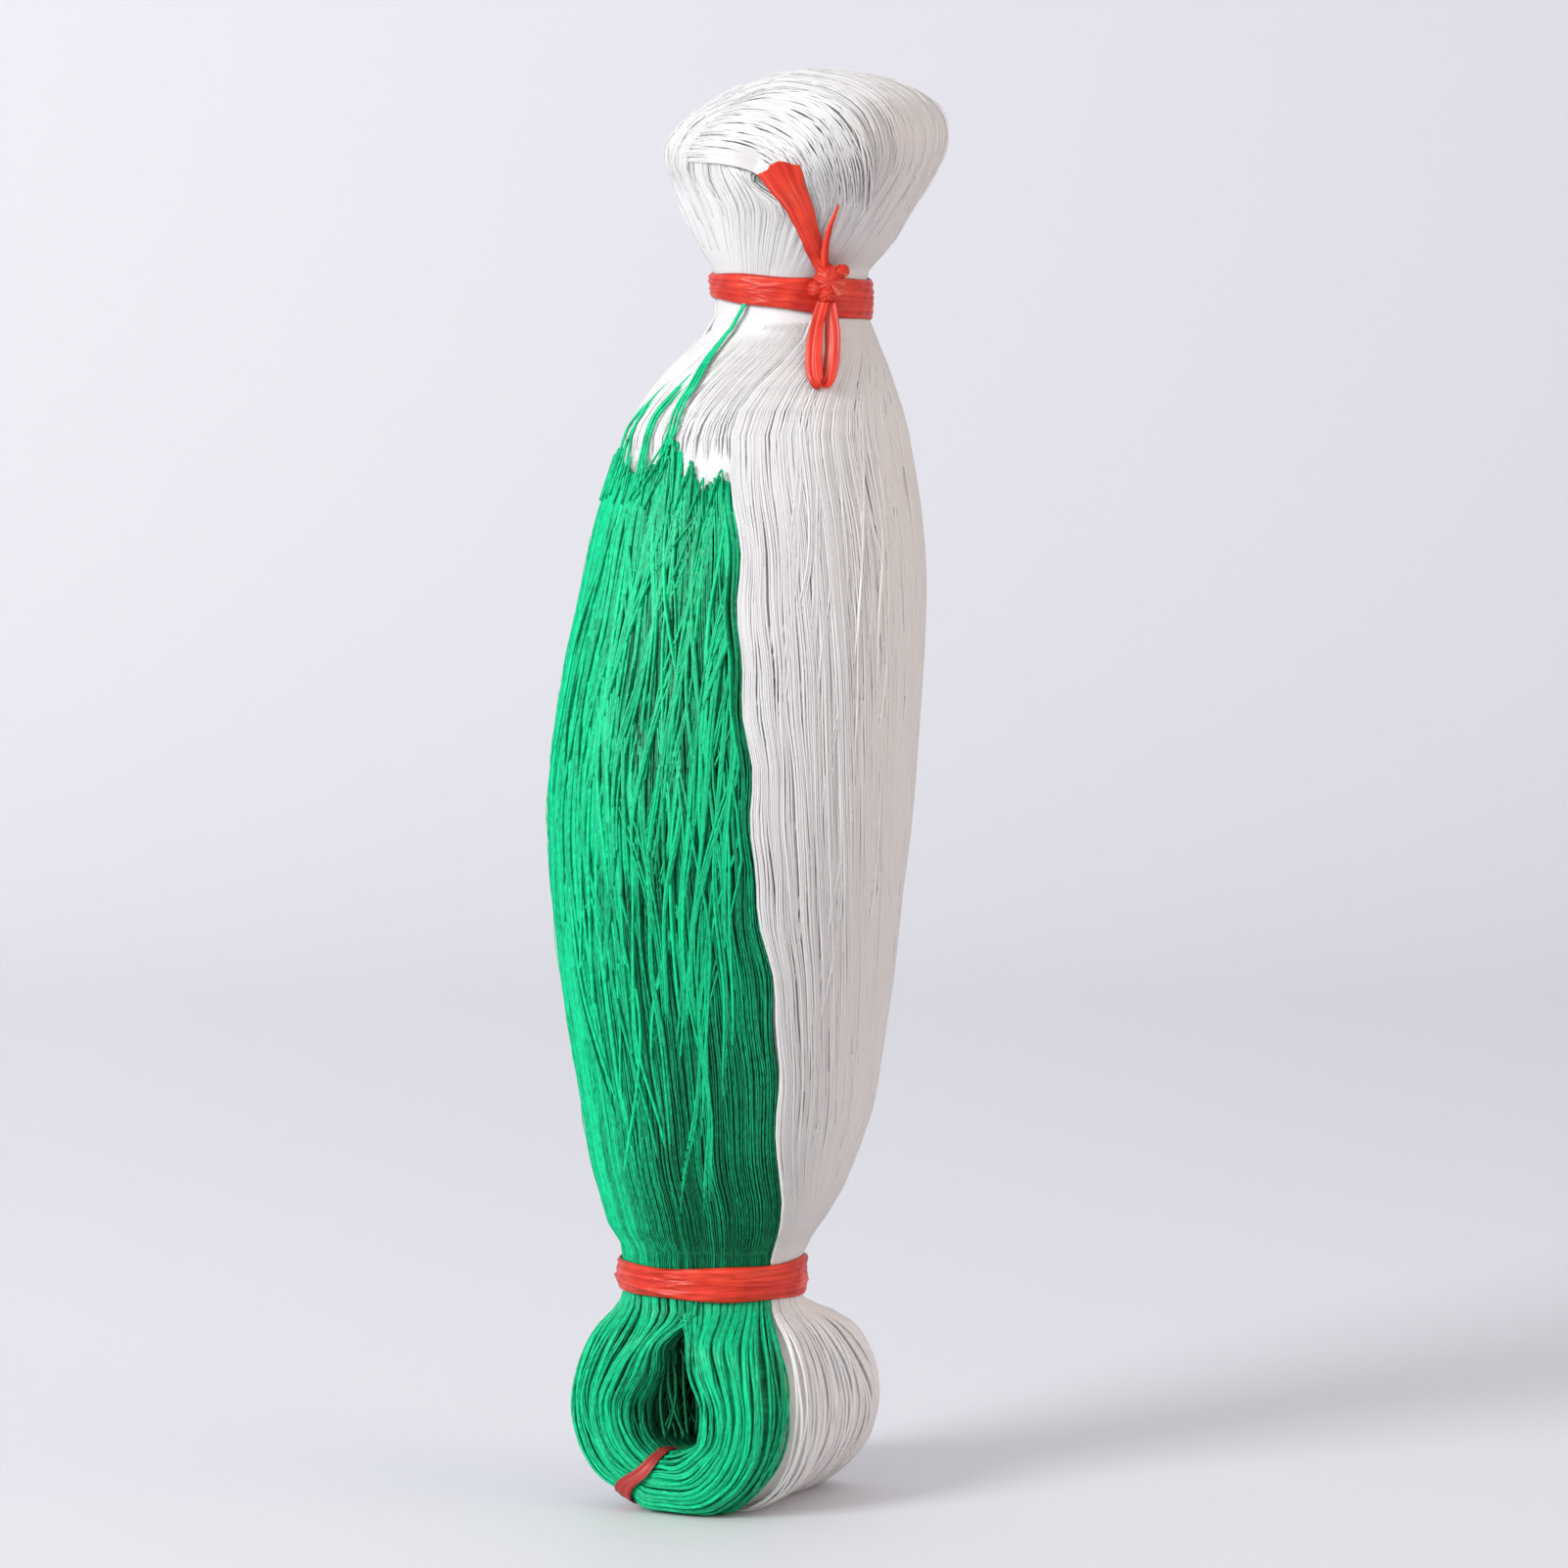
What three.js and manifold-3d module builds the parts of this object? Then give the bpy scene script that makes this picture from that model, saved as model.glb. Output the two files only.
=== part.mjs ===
// A hank of trellis netting that stands on its folded lower loop. The net is gathered into a thick
// skein: its strands run up both sides of the lower loop, through a tied neck, a full body and a
// second tied neck, and fold over at the crown. One length of the net, at the front, is green.
// Millimetres, +Z up, origin under the middle of the hank's box, on the surface that it stands on.
// The eye of the lower loop runs along Y.
import * as THREE from "three";
import { ParametricGeometry } from "three/addons/geometries/ParametricGeometry.js";
import { mergeVertices } from "three/addons/utils/BufferGeometryUtils.js";
import Module from "manifold-3d";

const wasm = await Module();
wasm.setup();

// Driving dimensions
const PIECE_GAP = 0.45; // air between the white and the green netting
const LIMB_OVERLAP = 1.5; // how far each side limb runs past the plane where the two meet
const SEAM_OVERLAP = 2; // the same along the outline, in degrees
const RIDGES = 18; // clumps of strands on the showing side of one limb
const RIDGE_DEPTH = 1.3; // depth of the furrow between two clumps
const INNER_STEPS = 6; // points across the hidden side of a limb
const LOOP_SQUARENESS = 4.5; // superellipse power of a limb in the lower loop
const CROWN_SQUARENESS = 2.8; // superellipse power of a limb in the crown
const GREEN_PLACE = 14 / 18 - 1; // the green's edge among the strands of a limb, between two clumps
const LOOP_GREEN_PLACE = -0.235; // the same in the lower loop, as a share of the limb's outline
const LOOP_GREEN_DEPTH = 0; // y to which green strands line the eye of the lower loop
const GREEN_BACK = 0.01; // how far behind that furrow the cutting wedge's back stands, in places
const GREEN_MARGIN = 4; // how far the cutting wedge stands out of the hank
const GREEN_STEPS = 8; // points across the front of the cutting wedge
const TIE_CLEARANCE = 0.45; // air between a tie and the netting that it holds
const RIBBON = 1.5; // thickness of crumpled raffia
const TIE_FRONT = 30; // turn of the upper tie's knot from the front, in degrees to the right
const BOX_MIDDLE = [0.2, 3]; // x and y of the hank's box as the tables below give it
const UNDER_EYE = 2; // sections of the lower loop that pass under its eye
const ROUND_EYE = 7; // sections from the foot to just above the eye's widest part

// Lower loop, a row for each section from the foot up to the neck. A section runs from the eye at
// eye_z out to the loop's outer side, once to the left and once to the right.
const LOOP_COLUMNS = "eye_left eye_right eye_z left left_z right right_z half_depth y ring relief";
const LOOP_SECTIONS = [
  [-0.2, -1.8, 17.0, -0.2, -0.8, -1.8, -0.8, 35.5, 0, 1, 0.6],
  [-3.2, 1.6, 17.3, -8.5, -0.3, 8.0, -0.8, 35.9, 0, 1, 0.6],
  [-5.2, 3.4, 18.3, -11.2, 1.5, 13.5, -0.1, 36.1, 0, 1, 0.5],
  [-7.6, 5.6, 20.3, -15.8, 3.6, 19.0, 2.8, 36.3, 0, 1, 0.5],
  [-9.4, 7.2, 23.8, -23.5, 8.6, 25.2, 8.2, 36.5, 0, 1, 0.9],
  [-9.8, 7.8, 28.5, -30.2, 17.5, 30.6, 16.8, 36.5, 0, 1, 1],
  [-8.8, 7.4, 34.5, -33.0, 28.5, 33.0, 28.0, 36.5, -0.3, 1, 1],
  [-6.2, 6.6, 41.5, -31.5, 40.0, 31.5, 39.5, 35.4, -1.2, 0.9, 1],
  [-2.0, 5.2, 49.0, -29.0, 49.5, 27.8, 49.0, 32.0, -2.8, 0.6, 0.8],
];

// Necks and body, a row for each level section: an oval round x, y. seam is where the two limbs
// meet at the front, and green_left and green_right are where the green ends, as turns in degrees
// from the front towards the right.
const BODY_COLUMNS = "z half_width half_depth x y green_left seam green_right relief";
const BODY_SECTIONS = [
  [57.0, 25.3, 25.3, -2.5, -5.0, -76, 13, 71, 0],
  [71.5, 25.3, 25.3, -2.5, -5.0, -76, 10, 71, 0],
  [76.0, 28.8, 27.6, -2.4, -4.9, -76, 8, 68, 0.3],
  [86.0, 34.0, 30.8, -1.2, -3.8, -76, 4, 60, 0.8],
  [97.0, 38.0, 33.5, -0.6, -2.6, -76, 0, 52, 1],
  [112.0, 42.2, 36.3, 0.0, -1.3, -75, -3, 48, 1],
  [130.0, 45.3, 38.8, -0.3, -0.9, -74, -6, 45, 1],
  [150.0, 48.4, 41.0, -0.5, -0.7, -73, -9, 41, 1],
  [172.0, 51.0, 42.2, -0.5, -0.5, -72, -13, 37, 1],
  [194.0, 53.0, 43.1, 0.0, 0.2, -71, -16, 33, 1],
  [216.0, 53.0, 43.0, 0.5, 2.8, -70, -20, 29, 1],
  [238.0, 51.7, 42.0, 1.8, 5.8, -70, -23, 25, 1],
  [260.0, 49.6, 40.2, 3.2, 8.6, -70, -25, 20, 1],
  [276.0, 47.3, 38.3, 3.9, 9.8, -70, -27, 17, 1],
  [290.0, 43.4, 35.6, 5.0, 11.2, -70, -27, 13, 1],
  [302.0, 39.8, 33.3, 5.8, 12.0, -70, -24, 12, 1],
  [312.0, 34.6, 29.8, 7.2, 13.3, -68, -16, 18, 0.9],
  [320.0, 29.4, 26.3, 8.8, 14.6, -64, -6, 28, 0.6],
  [327.0, 23.8, 22.8, 10.8, 15.9, -60, 3, 38, 0.2],
  [331.0, 21.4, 21.4, 11.0, 16.0, -60, 8, 44, 0],
  [344.5, 21.4, 21.4, 11.0, 16.0, -60, 17, 54, 0],
  [348.0, 24.4, 22.9, 11.3, 16.4, -60, 18, 56, 0.3],
  [354.0, 28.7, 25.0, 11.7, 17.0, -60, 19, 58, 0.7],
  [362.0, 33.6, 27.2, 12.2, 17.3, -60, 20, 60, 0.9],
];

// Crown, a row for each section where the strands fold over from both sides to the top.
const CROWN_COLUMNS = "seam seam_z left left_z right right_z half_depth y ring relief";
const CROWN_SECTIONS = [
  [19.0, 368.5, -23.8, 370.5, 50.0, 373.0, 29.0, 18.0, 0.4, 1],
  [19.0, 371.0, -23.6, 378.0, 51.5, 382.5, 29.5, 18.5, 0.8, 1],
  [18.5, 372.0, -17.5, 386.0, 47.5, 391.0, 29.5, 18.8, 1, 1],
  [18.0, 372.5, -7.0, 393.0, 38.5, 396.5, 29.0, 19.0, 1, 1],
  [18.0, 372.8, 5.5, 397.8, 28.5, 399.0, 28.5, 19.0, 1, 1],
  [18.0, 373.0, 18.8, 400.0, 17.2, 400.0, 28.0, 19.0, 1, 0.8],
];

// Heights of the green's zigzag edge, evenly spaced from its left end to its right end.
const GREEN_HEM = [294, 291, 293, 300, 288, 293, 286, 290, 286];
const GREEN_TOP = 290; // the level section in which the green ends

// Free ends of the upper tie. A row is a point of the ribbon's middle line, as its distance to the
// right, its distance out to the front and its height, seen from TIE_FRONT. Then come the width
// there, and how far the ribbon is folded forward along its middle.
const RIBBON_COLUMNS = "right front height width fold";
const TAIL_ROWS = [
  [25.4, 15.8, 347.9, 5.0, 0.8],
  [23.6, 18.7, 352.0, 5.4, 0.7],
  [21.6, 21.2, 357.5, 6.2, 0.6],
  [19.4, 23.4, 363.0, 7.6, 0.5],
  [16.5, 25.5, 368.3, 9.6, 0.4],
  [14.0, 26.6, 373.3, 12.0, 0.2],
];
const BOW_ROWS = [
  [25.9, 16.2, 335.2, 2.6, 0.3],
  [23.7, 18.0, 327.7, 3.2, 0.4],
  [22.4, 21.1, 320.2, 3.6, 0.4],
  [23.4, 23.2, 315.2, 3.6, 0.3],
  [25.9, 23.9, 313.6, 3.2, 0.2],
  [28.4, 23.0, 316.2, 3.4, 0.3],
  [29.8, 19.8, 323.2, 3.4, 0.4],
  [29.7, 17.3, 330.0, 3.0, 0.4],
  [29.2, 16.2, 335.2, 2.6, 0.3],
];
// Lumps of the knot: middle in the same way, then half sizes and a tilt in degrees.
const KNOT_COLUMNS = "right front height half_width half_front half_height tilt";
const KNOT_LUMPS = [
  [28.2, 17.1, 341.7, 4.9, 3.3, 5.2, 12],
  [31.9, 16.6, 344.2, 3.5, 2.3, 1.9, 28],
  [24.4, 16.9, 340.4, 3.4, 2.2, 2.2, -8],
  [27.6, 17.9, 338.6, 2.7, 2.5, 2.4, 0],
];
const WISP_ROWS = [
  [28.4, 16.9, 344.0, 3.4, 0.3],
  [29.0, 18.6, 351.0, 2.6, 0.3],
  [29.8, 20.4, 357.0, 2.0, 0.2],
  [30.8, 22.0, 363.0, 1.0, 0],
];

const NETTING_WHITE = "#f1f1f1";
const NETTING_GREEN = "#08a863";
const RAFFIA_RED = "#f0432a";
const RAFFIA_DULL = "#c8402f";

const rad = THREE.MathUtils.degToRad;
const lerp = THREE.MathUtils.lerp;

function named(columns, rows) {
  const keys = columns.split(" ");
  return rows.map((row) => Object.fromEntries(keys.map((key, i) => [key, row[i]])));
}

// The sections of one limb in order from the foot to the top of the crown. side is -1 for the left
// limb and 1 for the right one. A fold's inner and outer are (x, z) points.
function limbSections(side) {
  const fold = (row, inner, power) => ({
    inner,
    outer: side < 0 ? [row.left, row.left_z] : [row.right, row.right_z],
    halfDepth: row.half_depth,
    y: row.y,
    ring: row.ring,
    power: lerp(2, power, row.ring),
    relief: row.relief,
  });
  const loop = named(LOOP_COLUMNS, LOOP_SECTIONS).map((row) =>
    fold(row, [side < 0 ? row.eye_left : row.eye_right, row.eye_z], LOOP_SQUARENESS),
  );
  const body = named(BODY_COLUMNS, BODY_SECTIONS).map((row) => ({
    oval: row,
    start: row.seam - side * SEAM_OVERLAP,
    edge: side < 0 ? row.green_left : row.green_right,
    end: side * (180 + SEAM_OVERLAP),
    relief: row.relief,
  }));
  const crown = named(CROWN_COLUMNS, CROWN_SECTIONS).map((row) =>
    fold(row, [row.seam - side * LIMB_OVERLAP, row.seam_z], CROWN_SQUARENESS),
  );
  return [...loop, ...body, ...crown];
}

// Spreads the strands of a limb over its outline: place -1 lies at start, GREEN_PLACE at edge and
// place 1 at end.
function spread(place, start, edge, end) {
  return place < GREEN_PLACE
    ? lerp(start, edge, (place + 1) / (GREEN_PLACE + 1))
    : lerp(edge, end, (place - GREEN_PLACE) / (1 - GREEN_PLACE));
}

// A point of a level oval section, moved out by rise. The hidden side is straight.
function ovalPoint(section, side, place, rise) {
  const { oval, start, edge, end } = section;
  if (place > 1) {
    const front = ovalPoint(section, side, -1, rise);
    const rear = ovalPoint(section, side, 1, rise);
    rear.lerp(front, (place - 1) / 2);
    rear.x -= side * LIMB_OVERLAP;
    return rear;
  }
  const turn = rad(spread(place, start, edge, end));
  return new THREE.Vector3(
    oval.x + (oval.half_width + rise) * Math.sin(turn),
    oval.y - (oval.half_depth + rise) * Math.cos(turn),
    oval.z,
  );
}

// A point of a fold's section, a superellipse between its inner and its outer end, moved out by
// rise. Where ring is below 1 the hidden side draws flat.
function foldPoint(section, place, rise) {
  const half = 90 + 45 * section.ring;
  const degrees =
    place > 1
      ? lerp(half, 360 - half, (place - 1) / 2)
      : spread(place, -half, LOOP_GREEN_PLACE * half, half);
  const cos = Math.cos(rad(degrees));
  const sin = Math.sin(rad(degrees));
  const reach = (Math.abs(cos) ** section.power + Math.abs(sin) ** section.power) ** (-1 / section.power);
  const dx = section.outer[0] - section.inner[0];
  const dz = section.outer[1] - section.inner[1];
  const thickness = Math.hypot(dx, dz);
  const middle = (section.ring * thickness) / 2;
  const out = middle + (cos > 0 ? thickness - middle : middle) * cos * reach + rise * cos;
  return new THREE.Vector3(
    section.inner[0] + (dx / thickness) * out,
    section.y + section.halfDepth * sin * reach + rise * sin,
    section.inner[1] + (dz / thickness) * out,
  );
}

// A strand's place on its limb runs from -1 at the front seam over the outer side to 1 at the rear
// seam, and on to 3 across the hidden inner side.
function limbPoint(section, side, place, rise) {
  return section.oval ? ovalPoint(section, side, place, rise) : foldPoint(section, place, rise);
}

function middleOf(ring) {
  const middle = new THREE.Vector3();
  ring.forEach((point) => middle.addScaledVector(point, 1 / ring.length));
  return middle;
}

// How far a clump lies below the limb's outline: a furrow at each clump's start, and crests that
// differ from clump to clump and slowly along it.
function furrow(section, clump, phase, step) {
  const uneven = 0.5 + 0.5 * Math.sin(2.4 * clump + 0.4 * step);
  const depth = phase === 0 ? 0.7 + 0.3 * uneven : 0.45 * uneven;
  return -RIDGE_DEPTH * section.relief * depth;
}

// A closed solid through rings of points: rings[j][i] is a Vector3, and each end is closed to the
// middle of its ring.
function loft(rings) {
  const [first, last] = [rings[0], rings.at(-1)];
  const rows = [first.map(() => middleOf(first)), ...rings, last.map(() => middleOf(last))];
  const around = rings[0].length;
  const along = rows.length - 1;
  const at = (u, v, target) => {
    target.copy(rows[Math.round(v * along)][Math.round(u * around) % around]);
  };
  return solidOf(new ParametricGeometry(at, around, along));
}

// A closed hoop through rings of points, the last ring joined to the first.
function hoop(rings) {
  const around = rings[0].length;
  const at = (u, v, target) => {
    const j = Math.round(v * rings.length) % rings.length;
    target.copy(rings[j][Math.round(u * around) % around]);
  };
  return solidOf(new ParametricGeometry(at, around, rings.length));
}

// The closed surface as a solid, with its faces pointing out whichever way its rings run.
function solidOf(geometry) {
  const bare = geometry.clone();
  bare.deleteAttribute("normal");
  bare.deleteAttribute("uv");
  const merged = mergeVertices(bare, 1e-4);
  const index = merged.index.array;
  const faces = [];
  for (let i = 0; i < index.length; i += 3) {
    const [a, b, c] = [index[i], index[i + 1], index[i + 2]];
    if (a !== b && b !== c && c !== a) faces.push(a, b, c);
  }
  const made = (corners) =>
    new wasm.Manifold(
      new wasm.Mesh({
        numProp: 3,
        vertProperties: merged.attributes.position.array,
        triVerts: new Uint32Array(corners),
      }),
    );
  const solid = made(faces);
  return solid.volume() > 0 ? solid : made(faces.reverse());
}

function limbSolid(side) {
  const rings = limbSections(side).map((section, j) => {
    const ring = [];
    for (let clump = 0; clump < RIDGES; clump++)
      for (const phase of [0, 0.3, 0.7]) {
        const place = -1 + (2 * (clump + phase)) / RIDGES;
        ring.push(limbPoint(section, side, place, furrow(section, clump, phase, j)));
      }
    for (let i = 0; i < INNER_STEPS; i++)
      ring.push(limbPoint(section, side, 1 + (2 * i) / INNER_STEPS, 0));
    return ring;
  });
  return loft(rings);
}

// Height of the green's zigzag edge at a share of its width, counted from the left.
function hemHeight(share) {
  const at = THREE.MathUtils.clamp(share, 0, 1) * (GREEN_HEM.length - 1);
  const i = Math.min(Math.floor(at), GREEN_HEM.length - 2);
  return lerp(GREEN_HEM[i], GREEN_HEM[i + 1], at - i);
}

// The front part of one limb, as a wedge that stands out of the hank all round. Its back runs from
// the green's edge to the seam, and grow moves that back and the zigzag top away from the green.
function greenWedge(side, grow) {
  const own = limbSections(side);
  const other = limbSections(-side);
  const top = own.findIndex((section) => section.oval && section.oval.z >= GREEN_TOP);
  const cut = GREEN_PLACE + GREEN_BACK;
  const rings = own.slice(0, top + 1).map((section, j) => {
    const edge = limbPoint(section, side, cut, -1);
    const farEdge = limbPoint(other[j], -side, cut, -1);
    const seam = limbPoint(section, side, -1, 0);
    const inside = new THREE.Vector3();
    if (section.oval) {
      const x = seam.x - side * LIMB_OVERLAP;
      const share = (x - edge.x) / (farEdge.x - edge.x);
      inside.set(x, lerp(edge.y, farEdge.y, share) + grow, seam.z);
    } else {
      const eyeWall = limbPoint(section, side, 2, 0);
      inside.set(eyeWall.x, LOOP_GREEN_DEPTH + grow, eyeWall.z);
      if (j >= UNDER_EYE) inside.x -= side * LIMB_OVERLAP;
      if (j < ROUND_EYE) inside.z += LIMB_OVERLAP;
    }
    const along = limbPoint(section, side, cut + GREEN_BACK, -1).sub(edge).setLength(grow);
    const ring = [inside, edge.add(along)];
    for (let i = 0; i <= GREEN_STEPS; i++) {
      const point = limbPoint(section, side, lerp(cut, -1, i / GREEN_STEPS), GREEN_MARGIN);
      ring.push(i === 0 ? point.add(along) : point);
    }
    ring.push(inside.clone().setY(ring.at(-1).y));
    if (j === top)
      ring.forEach((point, i) => {
        const across = 0.5 + (side * (1 - Math.max(0, i - 2) / GREEN_STEPS)) / 2;
        point.z = 2 * grow + (i < 2 ? GREEN_TOP : hemHeight(across));
      });
    if (j === 0) ring.forEach((point) => (point.x -= side * LIMB_OVERLAP));
    return ring;
  });
  return loft(rings);
}

function boxSolid(size, place) {
  return solidOf(new THREE.BoxGeometry(...size).translate(...place));
}

// Raffia wound round a neck. The band follows the neck's outline at TIE_CLEARANCE, and its outer
// side has one rounded rib for each wrap. lean and flare tip and widen it towards the tilt angle.
function tieBand({ z, height, wraps, tilt, lean, flare }) {
  const around = 48;
  const neck = limbSections(1).find((section) => section.oval && section.oval.z > z).oval;
  const rings = [];
  for (let j = 0; j < around; j++) {
    const turn = (2 * Math.PI * j) / around;
    const towards = Math.cos(turn - rad(tilt));
    const half = (height + flare * towards) / 2;
    const put = (rise, up) =>
      new THREE.Vector3(
        neck.x + (neck.half_width + TIE_CLEARANCE + rise) * Math.sin(turn),
        neck.y - (neck.half_depth + TIE_CLEARANCE + rise) * Math.cos(turn),
        z + lean * towards + up,
      );
    const ring = [put(0, half), put(0, -half)];
    for (let i = 0; i <= 2 * wraps; i++) {
      const edge = i === 0 || i === 2 * wraps;
      const rib = RIBBON * (i % 2 ? 1 : edge ? 0.55 : 0.7);
      const crumple = 0.18 * Math.sin(3 * turn + 1.9 * i) + 0.12 * Math.sin(7 * turn - 1.1 * i);
      ring.push(put(rib + crumple, lerp(-half, half, i / (2 * wraps))));
    }
    rings.push(ring);
  }
  return hoop(rings);
}

// The narrow tie that goes once round the left limb of the lower loop.
function loopTie() {
  const sections = limbSections(-1).slice(2, 4);
  const near = TIE_CLEARANCE;
  const far = TIE_CLEARANCE + 0.8;
  const steps = 3 * RIDGES;
  const places = [];
  for (let i = 0; i < steps; i++) places.push(-1 + (2 * i) / steps);
  for (let i = 0; i < INNER_STEPS; i++) places.push(1 + (2 * i) / INNER_STEPS);
  const rings = places.map((place) => {
    const corner = (k, rise) => limbPoint(sections[k], -1, place, rise);
    return [corner(0, near), corner(1, near), corner(1, far), corner(0, far)];
  });
  return hoop(rings);
}

// A point seen from TIE_FRONT: its distance to the right, its distance out to the front, its height.
function seenPoint(right, front, height) {
  const turn = rad(TIE_FRONT);
  return new THREE.Vector3(
    right * Math.cos(turn) + front * Math.sin(turn),
    right * Math.sin(turn) - front * Math.cos(turn),
    height,
  );
}

// A crumpled ribbon along a smooth path, its flat side to the front.
function ribbon(table) {
  const rows = named(RIBBON_COLUMNS, table);
  const curve = new THREE.CatmullRomCurve3(
    rows.map((row) => seenPoint(row.right, row.front, row.height)),
  );
  const facing = seenPoint(0, 1, 0);
  const steps = 3 * (rows.length - 1);
  const rings = [];
  for (let j = 0; j <= steps; j++) {
    const at = (j / steps) * (rows.length - 1);
    const k = Math.min(Math.floor(at), rows.length - 2);
    const width = lerp(rows[k].width, rows[k + 1].width, at - k);
    const fold = lerp(rows[k].fold, rows[k + 1].fold, at - k);
    const middle = curve.getPoint(j / steps);
    const ahead = curve.getTangent(j / steps);
    const side = new THREE.Vector3().crossVectors(ahead, facing).normalize();
    const front = new THREE.Vector3().crossVectors(side, ahead).normalize();
    const ring = [];
    for (const face of [1, -1])
      for (let i = 0; i <= 5; i++) {
        const across = face * (i / 5 - 0.5);
        const lift = fold * Math.cos(2 * Math.PI * across) + (face * RIBBON) / 2;
        const point = middle.clone().addScaledVector(side, width * across);
        ring.push(point.addScaledVector(front, lift));
      }
    rings.push(ring);
  }
  return loft(rings);
}

function knotSolid() {
  const lumps = named(KNOT_COLUMNS, KNOT_LUMPS).map((row) => {
    const ball = new THREE.SphereGeometry(1, 14, 9);
    ball.scale(row.half_width, row.half_front, row.half_height);
    ball.rotateY(-rad(row.tilt)).rotateZ(rad(TIE_FRONT));
    ball.translate(...seenPoint(row.right, row.front, row.height));
    return solidOf(ball);
  });
  return lumps.reduce((all, lump) => all.add(lump), ribbon(WISP_ROWS));
}

const group = new THREE.Group();
group.position.set(-BOX_MIDDLE[0], -BOX_MIDDLE[1], 0);

function addPiece(name, solid, color, roughness) {
  const made = solid.getMesh();
  const geometry = new THREE.BufferGeometry();
  geometry.setAttribute("position", new THREE.BufferAttribute(made.vertProperties, 3));
  geometry.setIndex(new THREE.BufferAttribute(made.triVerts, 1));
  const material = new THREE.MeshStandardMaterial({ color, roughness, metalness: 0 });
  const mesh = new THREE.Mesh(geometry, material);
  mesh.name = name;
  group.add(mesh);
}

const aboveFloor = boxSolid([200, 200, 500], [0, 0, 250]);
const hank = limbSolid(-1).add(limbSolid(1)).intersect(aboveFloor);
const greenPart = greenWedge(-1, 0).add(greenWedge(1, 0));
const greenRoom = greenWedge(-1, PIECE_GAP).add(greenWedge(1, PIECE_GAP));

addPiece("white_netting", hank.subtract(greenRoom), NETTING_WHITE, 0.45);
addPiece("green_netting", hank.intersect(greenPart), NETTING_GREEN, 0.45);
addPiece(
  "lower_tie_band",
  tieBand({ z: 64.4, height: 9.4, wraps: 3, tilt: 120, lean: -0.2, flare: 1.2 }),
  RAFFIA_RED,
  0.4,
);
addPiece(
  "upper_tie_band",
  tieBand({ z: 338.6, height: 9.4, wraps: 2, tilt: 120, lean: -2, flare: 2.2 }),
  RAFFIA_RED,
  0.4,
);
addPiece("upper_tie_knot", knotSolid(), RAFFIA_RED, 0.4);
addPiece("upper_tie_tail", ribbon(TAIL_ROWS), RAFFIA_RED, 0.4);
addPiece("upper_tie_loop", ribbon(BOW_ROWS), RAFFIA_RED, 0.4);
addPiece("loop_tie", loopTie(), RAFFIA_DULL, 0.5);

export default group;
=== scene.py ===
"""A hank of knotted trellis netting, gathered, folded and tied, that stands on its lower loop.

The wound form is a skein: a closed loop of sections that runs from the foot up the left limb,
over the crown and down the right limb. Twines, locks of twines and ties all lie on it."""
import math

import bpy
import numpy as np
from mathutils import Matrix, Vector


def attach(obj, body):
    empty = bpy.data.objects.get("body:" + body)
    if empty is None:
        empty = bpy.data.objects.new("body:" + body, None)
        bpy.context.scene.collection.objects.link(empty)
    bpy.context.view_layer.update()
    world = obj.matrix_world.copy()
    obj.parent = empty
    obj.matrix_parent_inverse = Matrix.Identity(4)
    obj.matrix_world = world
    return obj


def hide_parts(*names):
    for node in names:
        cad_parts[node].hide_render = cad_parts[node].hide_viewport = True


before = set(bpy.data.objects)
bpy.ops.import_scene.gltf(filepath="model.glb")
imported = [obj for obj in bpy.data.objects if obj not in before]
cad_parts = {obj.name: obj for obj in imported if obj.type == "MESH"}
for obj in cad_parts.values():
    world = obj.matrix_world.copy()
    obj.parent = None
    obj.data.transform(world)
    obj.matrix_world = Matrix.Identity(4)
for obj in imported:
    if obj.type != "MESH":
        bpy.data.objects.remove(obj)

bl_info = {
    "name": "Trellis netting hank",
    "version": (1, 0, 0),
    "blender": (4, 5, 0),
    "location": "View3D > Sidebar > Hank",
    "description": "Twines, raffia ties and studio for a tied hank of trellis netting",
    "category": "Add Mesh",
}

MM = 0.001
BOX_MIDDLE = np.array([0.2, 3.0, 0.0])  # the hank's own origin, as the tables give it
PLY_PITCH = 0.0021  # metres of twine in one turn of its plies
FILM_GLOW = 0.15  # share of light that passes through the film
LIMB_OVERLAP = 1.5  # how far the limbs reach into each other, in mm
SEAM_OVERLAP = 2.0  # the same at the seams of the ovals, in degrees
RIDGES = 18  # main clumps on the showing side of one limb
RIDGE_DEPTH = 1.3
LOOP_SQUARENESS, CROWN_SQUARENESS = 4.5, 2.8  # powers of the superellipses; 2 is round
GREEN_PLACE = 14 / 18 - 1  # the green's edge among the strands of a limb
LOOP_GREEN_PLACE = -0.235
TIE_CLEARANCE = 0.45  # between a tie and the surface it lies on
TIE_FRONT = 30.0  # turn of the upper tie's knot from the front, to the right

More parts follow.
